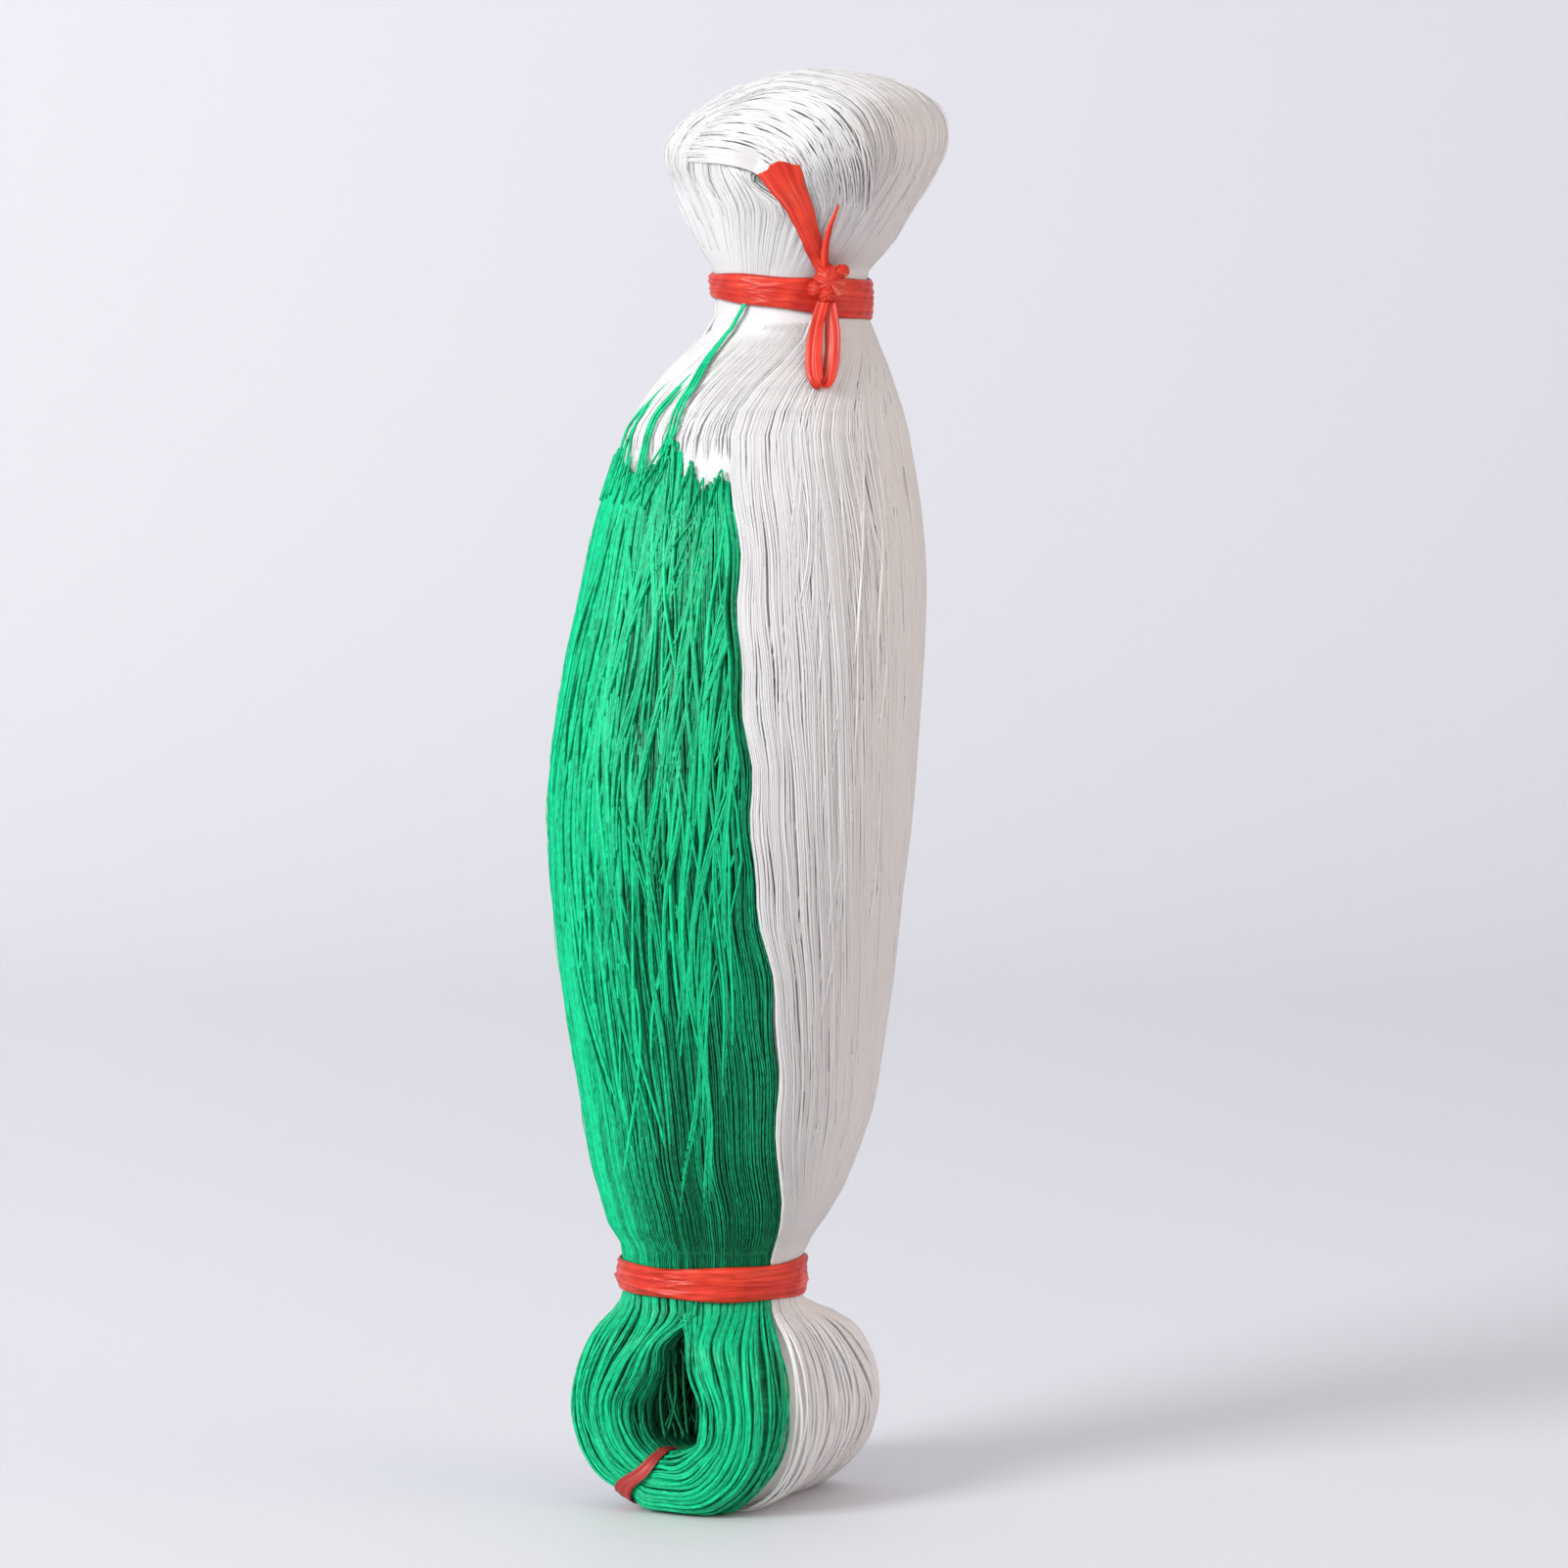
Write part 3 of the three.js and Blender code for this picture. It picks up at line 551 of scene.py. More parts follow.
def grid_surface(name, points, wrap_rows=False, wrap_columns=False, tone=None, uv=None):
    """A surface through a grid of points (row, column, xyz) in mm, closed where it wraps."""
    rows, columns = points.shape[:2]
    i = np.arange(rows if wrap_rows else rows - 1)[:, None]
    j = np.arange(columns if wrap_columns else columns - 1)[None, :]
    def at(i, j):
        return (i % rows) * columns + j % columns
    quads = np.stack([at(i, j), at(i, j + 1), at(i + 1, j + 1), at(i + 1, j)], -1).reshape(-1, 4)
    if uv is not None:
        uv = np.stack([uv[i, j], uv[i, j + 1], uv[i + 1, j + 1], uv[i + 1, j]], -2).reshape(-1, 2)
    return mesh_object(name, points.reshape(-1, 3) * MM, [quads], uv, tone)


class Number:
    """A number in a material. Python's operators on it add Math nodes."""
    def __init__(self, graph, socket):
        self.graph, self.socket = graph, socket

    def maths(self, operation, *values):
        sockets = dict(enumerate(values))
        node = self.graph.node("ShaderNodeMath", {"operation": operation}, sockets)
        return Number(self.graph, node.outputs[0])

    def __add__(self, other):
        return self.maths("ADD", self, other)

    def __sub__(self, other):
        return self.maths("SUBTRACT", self, other)

    def __rsub__(self, other):
        return self.maths("SUBTRACT", other, self)

    def __mul__(self, other):
        return self.maths("MULTIPLY", self, other)

    __radd__, __rmul__ = __add__, __mul__

    def clamped(self):
        """The number held between 0 and 1."""
        return Number(self.graph, self.graph.node("ShaderNodeClamp", (), {0: self}).outputs[0])


class Graph:
    """The nodes of one material."""
    def __init__(self, name):
        self.material = bpy.data.materials.new(name)
        self.material.use_nodes = True
        self.tree = self.material.node_tree
        self.tree.nodes.clear()

    def node(self, kind, settings=(), sockets=()):
        """A node: its settings first, then a value or a link for each named socket."""
        made = self.tree.nodes.new(kind)
        for key, value in dict(settings).items():
            setattr(made, key, value)
        for key, value in dict(sockets).items():
            if isinstance(value, Number):
                value = value.socket
            if isinstance(value, bpy.types.NodeSocket):
                self.tree.links.new(value, made.inputs[key])
            else:
                made.inputs[key].default_value = value
        return made

    def place(self):
        """The Object coordinates."""
        return self.node("ShaderNodeTexCoord").outputs["Object"]

    def parts(self, vector):
        """The three numbers of a vector."""
        node = self.node("ShaderNodeSeparateXYZ", (), {0: vector})
        return [Number(self, socket) for socket in node.outputs]

    def vector(self, *numbers):
        """A vector of two or three numbers."""
        return self.node("ShaderNodeCombineXYZ", (), dict(enumerate(numbers))).outputs[0]

    def uv(self):
        """Along and across the twine or ribbon, as two numbers."""
        return self.parts(self.node("ShaderNodeUVMap", {"uv_map": "run"}).outputs[0])[:2]

    def across(self, turn):
        """Two numbers from Object coordinates: how far to the right, seen from a turn, and how high."""
        x, y, z = self.parts(self.place())
        return x * math.cos(turn) + y * math.sin(turn), z

    def attribute(self, name):
        """A number that the mesh holds at each point."""
        return Number(self, self.node("ShaderNodeAttribute", {"attribute_name": name}).outputs["Fac"])

    def noise(self, scale, detail=2.0, vector=None):
        """Noise over Object coordinates, or over a vector that is handed in."""
        if vector is None:
            vector = self.place()
        node = self.node("ShaderNodeTexNoise", (), {"Vector": vector, "Scale": scale, "Detail": detail})
        return Number(self, node.outputs["Fac"])

    def blended(self, share, low, high):
        """The colour low where share is 0 and high where it is 1."""
        node = self.node("ShaderNodeMix", {"data_type": "RGBA"}, {0: share, 6: low, 7: high})
        return node.outputs[2]

    def bump(self, height, strength, distance):
        """A normal that follows height."""
        return self.node("ShaderNodeBump", (), {
            "Height": height, "Strength": strength, "Distance": distance}).outputs[0]

    def lit_through(self, shader, colour, share):
        """The shader with a share of light that passes through the film or twine."""
        through = self.node("ShaderNodeBsdfTranslucent", (), {"Color": rgba(colour)}).outputs[0]
        return self.node("ShaderNodeMixShader", (), {0: share, 1: shader, 2: through}).outputs[0]

    def shaded(self, **sockets):
        """The main shader; an underscore in a socket's name stands for a space."""
        sockets = {key.replace("_", " "): value for key, value in sockets.items()}
        return self.node("ShaderNodeBsdfPrincipled", (), sockets).outputs[0]

    def finish(self, shader):
        """The material with its shader joined to the output."""
        self.node("ShaderNodeOutputMaterial", (), {"Surface": shader})
        return self.material


def rgba(colour):
    """A colour property with an alpha of 1."""
    return (*colour[:3], 1.0)


def twine_material(name, dark, light, rough, shine, glow, grainy):
    """Twisted nylon: fine fibres wind round the twine, so its grain is uneven along it and slanted
    across it, and no two twines have quite the same shade. glow is the share of light that passes
    through, and grainy is how much the grain shows."""
    graph = Graph(name)
    along, around = graph.uv()
    tone = graph.attribute("tone")
    across = around * 2.0 + along * (1 / PLY_PITCH)
    grain = graph.noise(1.0, vector=graph.vector(along * 240.0, across, tone * 40.0))
    patches = graph.noise(60.0)
    # The tone attribute holds each twine's own shade and, on some pieces, painted shade as well.
    share = tone * 0.7 + patches * 0.3 + (grain - 0.5) * grainy - 0.05
    colour = graph.blended(share.clamped(), rgba(dark), rgba(light))
    shader = graph.shaded(
        Base_Color=colour, Roughness=rough, Specular_IOR_Level=shine,
        Normal=graph.bump(grain, 0.6, 0.00025))
    return graph.finish(graph.lit_through(shader, light, glow))


def raffia_material(name, deep, lit, pale, rough):
    """Split film: fine lengthwise creases, lighter streaks where light comes through it, and pale
    patches of painted light that comes through the film, at random and where the tone asks."""
    graph = Graph(name)
    along, across = graph.uv()
    streaks = graph.noise(1.0, 4.0, graph.vector(along * 30.0, across * 900.0))
    patches = graph.noise(90.0)
    share = (streaks - 0.45) * 2.0 + (patches - 0.5) * 1.3 + 0.35
    colour = graph.blended(share.clamped(), rgba(deep), rgba(lit))
    # Painted light: the pale colour stands in for light that comes through the film, in random patches and
    # where a piece's tone is high.
    painted_lit_through = graph.attribute("tone") * 0.8 + (graph.noise(42.0, 1.0) + streaks * 0.6 - 0.93) * 4.0
    colour = graph.blended(painted_lit_through.clamped(), colour, rgba(pale))
    shader = graph.shaded(
        Base_Color=colour, Roughness=rough, Specular_IOR_Level=0.35,
        Normal=graph.bump(streaks, 0.4, 0.0003))
    return graph.finish(graph.lit_through(shader, lit, FILM_GLOW))


def finished(piece, material, node):
    """Gives a piece its material and body, and hides the CAD node that it replaces."""
    piece.data.materials.append(material)
    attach(piece, "root")
    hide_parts(node)


def above_floor(points, clearance):
    """Points nearer to the floor than clearance are pressed up to it, with a soft bend."""
    z = points[..., 2] - clearance
    points[..., 2] = clearance + np.where(z > 0, z, 0) + 0.25 * np.exp(-np.abs(z) / 0.25)
    return points


def locks_of(rng, places, low, high, count):
    """Which lock each place belongs to, and where in it, from -1 to 1. The locks' widths differ."""
    widths = rng.uniform(0.55, 1.5, count)
    edges = low + (high - low) * np.concatenate([[0], np.cumsum(widths)]) / widths.sum()
    lock = np.clip(np.searchsorted(edges, places, side="right") - 1, 0, count - 1)
    centre, half = (edges[lock] + edges[lock + 1]) / 2, (edges[lock + 1] - edges[lock]) / 2
    return lock, centre, half, (places - centre) / half


def tones_of(rng, lock, locks):
    """How light each twine is: a shade of its lock's and one of its own."""
    return 0.55 * rng.uniform(0, 1, locks)[lock][:, None] + rng.uniform(0, 0.45, (len(lock), 1))


def crease(run, place):
    """The deep furrow over the right of the crown, where the curl's edge lies."""
    ends = (run - CREASE_START) / FOLD_OVER, (CREASE_END - run) / FOLD_OVER
    window = np.clip(ends[0], 0, 1) * np.clip(ends[1], 0, 1)
    return -CREASE_DEPTH * window * np.exp(-((place - CREASE_PLACE) / 0.018) ** 2)


def eye_shift(points, run, place):
    """Moves what lies beside the lower loop's eye to the right: the left limb above the eye, so
    that it closes it, and the right limb at the eye's foot."""
    z = points[..., 2]
    left = (run % SKEIN.length) < SKEIN.length / 2
    round_eye = np.where(place > 1, place - 4, place)
    near = smoothstep(-0.5, -0.95, round_eye) * smoothstep(-3.0, -2.5, round_eye)
    closing = EYE_CLOSING * smoothstep(29.0, 41.0, z) * smoothstep(62.0, 50.0, z)
    opening = EYE_OPENING * smoothstep(42.0, 31.0, z) * smoothstep(15.0, 22.0, z)
    points[..., 0] += near * np.where(left, closing, opening)
    return points


def ridges(run, place):
    """The furrows between the main clumps, as deep as the section's relief lets them be."""
    return -RIDGE_DEPTH * SKEIN.relief(run) * (0.42 + 0.42 * np.cos(math.pi * RIDGES * (place + 1)))


def body_layer(name, rng, twines, locks, turn_at, top, depth, mess, shade, bulge, plump, radius):
    """A layer of twines up the body. turn_at(height, share) is the turn at a share of the way
    round; top holds each twine's height at its upper end. mess(height, share) is from 0, where the
    locks lie smooth and close, to 1, where they wander in millimetres and cross. shade(height,
    share) is painted shade that darkens the twines, bulge lifts the twines at the first edge, and
    plump is how round a lock is."""
    base = (np.arange(twines) + 0.5 + rng.uniform(-0.2, 0.2, twines)) / twines
    lock, centre, half, within = locks_of(rng, base, 0, 1, locks)
    base, centre, half, within = (v[:, None] for v in (base, centre, half, within))
    bottom = LOWER_TIE - 2
    z = bottom + (top[:, None] - bottom) * np.linspace(0, 1, BODY_STEPS)[None, :]
    loose = mess(z, base)
    calm = 0.12 + 0.88 * oval_at(z)["relief"]
    span = np.radians(turn_at(z, 1) - turn_at(z, 0)) * oval_at(z)["half_width"]
    tight = 1.02 - 0.42 * loose * (1 + waves(rng, locks, z, 120.0, 40.0, lock))
    wander = (0.1 + 2.4 * loose) * waves(rng, locks, z, 200.0, 60.0, lock) * calm
    drift = (0.25 + 0.1 * loose) * waves(rng, twines, z, 160.0, 40.0) * calm
    share = centre + half * within * np.clip(tight, 0.25, 1) + (wander + drift) / span
    share = mixed(share, np.clip(share, 0.0, 1.0), 0.7)
    crest = (1 - within**2) * (plump + 0.4 * loose) * half * span * calm
    lift = calm * (1.1 * loose * waves(rng, locks, z, 150.0, 50.0, lock)
                   + (0.06 + 0.1 * loose) * waves(rng, twines, z, 90.0, 35.0))
    lift = lift + rng.uniform(-0.25, 0.25, (twines, 1)) * loose
    rise = crest + lift - 0.35 - depth * (0.5 + 0.5 * calm) * (1 + 0.8 * loose)
    rise = rise + bulge * calm * np.exp(-(base / 0.05) ** 2)
    radius = radius * rng.uniform(0.82, 1.15, (twines, 1)) * (0.8 + 0.2 * calm)
    # Painted shade: deeper layers are darker where the locks are loose, and shade(z, base) darkens them
    # further.
    tone = tones_of(rng, lock, locks) + 0.3 - 0.35 * loose * depth - shade(z, base)
    return body_twines(name, z, turn_at(z, share), rise, radius, tone)


def body_twines(name, z, turn, rise, radius, tone, sides=3):
    """Twines over the body through heights and turns in degrees, each (twine, step), and rises."""
    points, out = on_body(z, turn, rise)
    return tubes(name, points, out, radius, tone, sides)


def strays(name, rng, locks, per_lock, turns, heights, slant, hump, thin):
    """Small locks of twines that leave the others, lie across them and join them again. Turn over
    height is a straight line with a bend and a wave; the rise is a long hump. Each colour keeps
    to its own share of the front, and the green ones are bolder."""
    green = turns[0] < 0
    t = np.linspace(0, 1, 22)[None, :]
    length = rng.uniform(45, 140, (locks, 1))
    z0 = rng.uniform(heights[0], heights[1], (locks, 1))
    z0 = np.maximum(np.minimum(z0, heights[1] - length), heights[0])
    lean = rng.normal(0, slant, (locks, 1))
    bend = rng.normal(0, slant * 0.4, (locks, 1))
    z = z0 + length * t
    turn = rng.uniform(*turns, (locks, 1)) + lean * (t - 0.5) + bend * np.sin(math.pi * t)
    turn = turn + 1.5 * waves(rng, locks, z, 95, 40)
    rise = rng.uniform(0.3, 1.0, (locks, 1)) * hump * np.sin(math.pi * t) ** 0.6 - 0.7
    each = np.repeat(np.arange(locks), per_lock)
    spot = rng.normal(0, 0.4, (len(each), 1))
    z = z[each] + rng.uniform(-5, 5, (len(each), 1))
    turn = turn[each] + spot * (0.7 + 0.9 * np.abs(2 * t - 1))
    if green:
        turn = np.clip(turn, green_turn(z, 0.02), green_turn(z, 0.96))
    else:
        turn = np.maximum(turn, green_turn(z, 1) + 1.5)
    rise = rise[each] + rng.uniform(-0.3, 0.3, (len(each), 1))
    radius = thin * (1.3 if green else 1.0) * rng.uniform(1.0, 1.5, (len(each), 1))
    # Their tones take none of the painted shade of the layers below, so they stand out lighter: painted
    # light on the twines that lie on top.
    return body_twines(name, z, turn, rise, radius, rng.uniform(0.5, 1.2, (len(each), 1)))


def skein_layer(name, rng, twines, locks, places, runs, steps, depth, radius, loose, sides=3,
                crest=0.3, swell=(0.0, -1.0, 0.16), shade=0.0):
    """A layer of twines along the skein between two places and two runs. crest is how far a lock's
    middle stands out, swell is how far the lower loop's twines are lifted, the place where and
    over how much, and shade is painted shade that darkens those inside its eye."""
    base = (np.arange(twines) + 0.5 + rng.uniform(-0.25, 0.25, twines)) / twines
    lock, centre, half, within = locks_of(rng, mixed(*places, base), *places, locks)
    centre, half, within = centre[:, None], half[:, None], within[:, None]
    run = mixed(*runs, np.linspace(0, 1, steps))[None, :] + np.zeros((twines, 1))
    calm = 0.15 + 0.85 * SKEIN.relief(run)
    if places[0] < -1:
        from_tie = (run - tie_run(mixed(*places, base)[:, None])) / TIE_PINCH
        calm = calm * (1 - 0.9 * np.exp(-(from_tie ** 2)))
    wander = 0.8 * loose * waves(rng, locks, run, 140.0, 45.0, lock) * calm
    drift = 0.7 * loose * waves(rng, twines, run, 110.0, 35.0) * calm
    tight = np.clip(1 - 0.3 * loose * (1 + waves(rng, locks, run, 100.0, 40.0, lock)), 0.3, 1)
    place = centre + half * (within * tight + wander + drift)
    lift = loose * calm * (0.55 * waves(rng, locks, run, 120.0, 40.0, lock)
                           + 0.3 * waves(rng, twines, run, 80.0, 30.0))
    rise = 0.6 * ridges(run, place) + crease(run, place) + lift + crest * (1 - within**2) * calm - depth
    below = smoothstep(LOOP_END, LOOP_FULL, np.abs(run))
    rise = rise + swell[0] * np.exp(-((place - swell[1]) / swell[2]) ** 2) * below * calm
    radius = radius * rng.uniform(0.85, 1.15, (twines, 1)) * (0.75 + 0.25 * calm)
    rise = rise + 0.12 * loose * waves(rng, twines, run, 16.0, 8.0)
    points = above_floor(eye_shift(SKEIN.point(run, place, rise), run, place), radius.max())
    # Painted shade: twines inside the lower loop's eye are darkened.
    tone = tones_of(rng, lock, locks) + 0.25 - shade * smoothstep(-1.0, -1.25, place)
    # Painted shade: loose locks are darker towards their edges, in the furrows between them.
    tone = tone - 0.4 * loose * np.abs(within)
    return tubes(name, points, SKEIN.outward(run, place), radius, tone, sides)


def fuzz(name, rng, count, runs, places, height):
    """Fine hairs that stand off the twines: each follows the skein, drifts aside and arches away
    from it or ends in the air."""
    t = np.linspace(0, 1, 8)[None, :]
    length = rng.uniform(8, 26, (count, 1))
    run = rng.uniform(*runs, (count, 1)) + length * t
    place = rng.uniform(*places, (count, 1)) + rng.normal(0, 0.02, (count, 1)) * t
    arch = np.where(rng.uniform(0, 1, (count, 1)) < 0.6, np.sin(math.pi * t), t**1.6)
    rise = rng.uniform(0.3, 1.0, (count, 1)) * height * arch + 0.1
    return tubes(name, SKEIN.point(run, place, rise), SKEIN.outward(run, place), FUZZ_RADIUS, 1.0)


def swirl(name, rng, twines, thin):
    """Twines that come from the crown's left shoulder, sweep over its front and run down to the
    tie. They lie between the guides of SWIRL_GUIDES on the front of the hank, and sink into it at
    both ends."""
    steps = 54
    rows = np.array([open_curve(np.array(guide, float), np.linspace(0, len(guide) - 1, steps))
                     for guide in SWIRL_GUIDES])
    t = np.linspace(0, 1, steps)[None, :]
    q = np.linspace(0, 1, twines)[:, None] * (len(rows) - 1)
    q = q + (0.10 * waves(rng, twines, 100 * t, 90, 30) + rng.normal(0, 0.05, (twines, 1)))
    q = np.clip(q, 0, len(rows) - 1.001)
    j = np.floor(q).astype(int)
    step = np.arange(steps)[None, :]
    path = mixed(rows[j, step], rows[j + 1, step], (q - j)[..., None])
    right, height = path[..., 0], path[..., 1]
    fade = rng.uniform(-0.12, 0.12, (twines, 1))
    hidden = smoothstep(0.45, 0.85, t + fade) + smoothstep(0.16, 0.0, t + 0.5 * fade)
    over = np.sin(math.pi * np.clip(t * 1.2, 0, 1))
    inmost = 0.3 * np.exp(-q**2 / 0.4)
    lift = (1.4 + inmost) * over + 0.15 * waves(rng, twines, 100 * t, 60, 25) * over - 3.2 * hidden
    front = Front().at(right, height) + lift - 1.0
    points = seen_points(right, front, height)
    radius = thin * rng.uniform(0.85, 1.1, (twines, 1))
    return tubes(name, points, TO_VIEWER, radius, rng.uniform(0.3, 1, (twines, 1)))


def core(name, low, high, start, end, depth_at, columns, rows, closed):
    """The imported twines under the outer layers: the skein's surface, sunk by depth_at(run, place).
    A closed one goes all round; the other is a shell 0.5 mm thick between two places."""
    run = np.linspace(start, end, rows, endpoint=not closed)[:, None]
    place = np.linspace(low, high, columns, endpoint=not closed)[None, :]
    run, place = np.broadcast_arrays(run, place)
    rise = 0.6 * ridges(run, place) - depth_at(run, place)
    outer = above_floor(eye_shift(SKEIN.point(run, place, rise), run, place), 0.3)
    coords = np.stack([run * MM, place * 0.03], -1)
    if closed:
        coords = np.concatenate([coords, coords[:1] + [SKEIN.length * MM, 0]])
        coords = np.concatenate([coords, coords[:, :1] + [0, 0.12]], 1)
        return grid_surface(name, outer, True, True, np.full(outer[..., 0].size, 0.5), coords)
    inner = above_floor(eye_shift(SKEIN.point(run, place, rise - 0.5), run, place), 0.2)
    both = np.concatenate([outer, inner[:, ::-1]], 1)
    ends = np.broadcast_to(both.mean(1, keepdims=True), both.shape)
    both = np.concatenate([ends[:1], both, ends[-1:]])
    coords = np.concatenate([coords, coords[:, ::-1], coords[:, :1]], 1)
    coords = np.concatenate([coords[:1], coords, coords[-1:]])
    # The shell's tone of 0 gives it the darkest colour of its material: painted shade under the twines.
    return grid_surface(name, both, False, True, np.full(both[..., 0].size, 0.0), coords)


class NettingSettings(bpy.types.PropertyGroup):
    twine: bpy.props.FloatProperty(
        name="Twine", description="Thickness of the twine", default=0.00074, unit="LENGTH")
    loop_twine: bpy.props.FloatProperty(
        name="Loop twine", description="Thickness of a twine in the lower loop", default=0.0009,
        unit="LENGTH")
    swirl_twines: bpy.props.IntProperty(
        name="Swirl", description="Twines that turn over at the front of the crown", default=210)
    white_dark: bpy.props.FloatVectorProperty(
        name="White, shaded", description="Darkest white twine", default=(0.93, 0.905, 0.89),
        size=3, subtype="COLOR")
    white_light: bpy.props.FloatVectorProperty(
        name="White, lit", description="Lightest white twine", default=(0.985, 0.985, 0.99),
        size=3, subtype="COLOR")
    green_dark: bpy.props.FloatVectorProperty(
        name="Green, shaded", description="Darkest green twine", default=(0.001, 0.15, 0.06),
        size=3, subtype="COLOR")
    green_light: bpy.props.FloatVectorProperty(
        name="Green, lit", description="Lightest green twine", default=(0.006, 0.74, 0.34),
        size=3, subtype="COLOR")
    seed: bpy.props.IntProperty(name="Seed", description="Seed of the laying", default=7)


def green_mess(z, share):
    """Smooth at the green's left edge and near the ties, loose and crossed over the rest."""
    up = smoothstep(92.0, 130.0, z) * smoothstep(292.0, 262.0, z)
    return 0.06 + 0.28 * smoothstep(0.16, 0.5, share) * up


def green_painted_shade(z, share):
    """Painted light and shade: bright on the left, towards the key light; darker towards the right
    edge and the lower tie, where shade falls.
    """
    right = smoothstep(0.22, 0.7, share) * smoothstep(295.0, 240.0, z)
    return 0.75 * right + 0.3 * smoothstep(140.0, 75.0, z) * (0.3 + 0.7 * share) - 0.12


def white_mess(z, share):
    """The white lies smooth, a little looser beside the green on the right."""
    return 0.04 + 0.16 * smoothstep(0.35, 0.0, share) * smoothstep(80.0, 120.0, z)


def white_shade(z, share):
    """Every white twine is as light as the next."""
    return 0 * z


def white_depth(run, place):
    """The white core lies close under its twines, and well below the green where that covers it."""
    covered = smoothstep(GREEN_PLACE + 0.03, GREEN_PLACE - 0.06, place) + smoothstep(1.95, 2.05, place)
    from_foot = np.minimum(run, SKEIN.length - run)
    hem = SKEIN.run_at(-1, WHITE_HEM)
    return 0.55 + 3.4 * covered * smoothstep(hem + 6, hem - 10, from_foot)


def green_depth(run, place):
    """The green core lies close where the twines are smooth, and deep where they are loose."""
    side = np.where((run % SKEIN.length) < SKEIN.length / 2, -1, 1)
    share = 0.5 + side * 0.5 * (place + 1) / (GREEN_PLACE + 1)
    z = SKEIN.point(run, place, 0 * place)[..., 2]
    edge = smoothstep(GREEN_PLACE - 0.03, GREEN_PLACE + 0.02, place)
    return 0.6 + 2.4 * green_mess(z, np.clip(share, 0, 1)) + 1.2 * edge


class HANK_OT_white_netting(bpy.types.Operator):
    """Lays the white twines of the hank over their packed core"""
    bl_idname = "hank.white_netting"
    bl_label = "White netting"

    def execute(self, context):
        settings = context.scene.hank_netting
        rng = np.random.default_rng(settings.seed)
        white = twine_material("white_nylon", settings.white_dark, settings.white_light,
                               rough=0.3, shine=0.5, glow=0.38, grainy=0.45)
        thin, stout = settings.twine / MM / 2, settings.loop_twine / MM / 2
        length = SKEIN.length
        made = [core("white_core", -1, 3, 0, length, white_depth, 110, 150, True)]
        for depth, label, twines in ((0.0, "outer", 350), (0.4, "under", 220)):
            top = np.full(twines, UPPER_TIE)
            made.append(body_layer(f"white_body_{label}", rng, twines, 40, white_turn, top, depth,
                                   white_mess, white_shade, 1.2, 0.12, 1.35 * thin))
        for depth, label, twines in ((0.0, "outer", 130), (0.5, "under", 90)):
            made.append(white_front(f"white_front_{label}", rng, twines, depth, thin))
        crown = (SKEIN.run_at(-1, UPPER_TIE), SKEIN.run_at(1, UPPER_TIE))
        made.append(skein_layer("white_crown", rng, 340, 80, (-1, 1), crown, 60, 0.2, thin, 0.3))
        made.append(swirl("white_swirl", rng, settings.swirl_twines, thin))
        top = (crown[0] + 12, crown[1] - 38)
        side = (SKEIN.run_at(1, 325.0), SKEIN.run_at(1, 85.0) - 26)
        made.append(fuzz("white_fuzz_crown", rng, 420, top, (-1, 1), 0.9))
        made.append(fuzz("white_fuzz_body", rng, 260, side, (-0.15, 1), 0.45))
        foot = (SKEIN.run_at(1, LOWER_TIE) - length, SKEIN.run_at(-1, LOWER_TIE))
        made.append(skein_layer("white_loop", rng, 150, 22, (GREEN_PLACE, 2), foot, 60, 0.35, stout,
                                0.4, sides=4, crest=0.7, swell=(3.8, GREEN_PLACE + 0.07, 0.1)))
        made.append(strays("white_strays_right", rng, 60, 3, (24, 110), (80, 318), 6, 1.0, thin))
        made.append(strays("white_strays_back", rng, 44, 2, (110, 285), (80, 318), 6, 0.9, thin))
        for piece in made:
            finished(piece, white, "white_netting")
        return {"FINISHED"}


def white_front(name, rng, twines, depth, thin):
    """The white above the zigzag: it comes out from under the green and runs up to the tie."""
    base = (np.arange(twines) + 0.5 + rng.uniform(-0.3, 0.3, twines)) / twines
    z = np.linspace(WHITE_FRONT_FOOT, UPPER_TIE, 20)[None, :] + np.zeros((twines, 1))
    share = base[:, None] + 0.012 * waves(rng, twines, z, 80.0, 30.0) * oval_at(z)["relief"]
    covered = smoothstep(300.0, 286.0, z)
    within = locks_of(rng, base, 0, 1, 13)[3][:, None]
    rise = (0.35 * waves(rng, twines, z, 70.0, 30.0) + 0.9 * (1 - within**2)) * oval_at(z)["relief"]
    rise = rise - 0.8 - depth - 2.4 * covered
    radius = thin * rng.uniform(0.85, 1.1, (twines, 1))
    turn = green_turn(z, np.clip(share, 0, 1))
    # Their tones run lower than those of the other white twines: painted shade that tones down the key
    # light on this slope.
    return body_twines(name, z, turn, rise, radius, rng.uniform(0, 1, (twines, 1)))


def eye_strands(name, rng, thin):
    """Loose twines inside the eye of the lower loop: each hangs from its roof to its floor with a
    bend to one side."""
    count = 26
    t = np.linspace(0, 1, 16)[None, :]
    start, end = rng.uniform(-6.5, 5.5, (count, 1)), rng.uniform(-9.0, 7.0, (count, 1))
    x = mixed(start * 0.5, end, t) + rng.uniform(-3, 3, (count, 1)) * np.sin(math.pi * t)
    x = np.clip(x, -9.0, 7.0)
    y = rng.uniform(-31, -8, (count, 1)) + rng.uniform(-5, 5, (count, 1)) * t
    z = mixed(47.0 - 0.4 * np.abs(start), 21.0, t) + rng.uniform(-2, 2, (count, 1)) * t
    # Their tone of -0.25 makes them darker than any other green twine: painted shade inside the eye.
    return tubes(name, np.stack([x, y, z], -1) - BOX_MIDDLE, (0.0, -1.0, 0.0), thin * 1.7, -0.25)


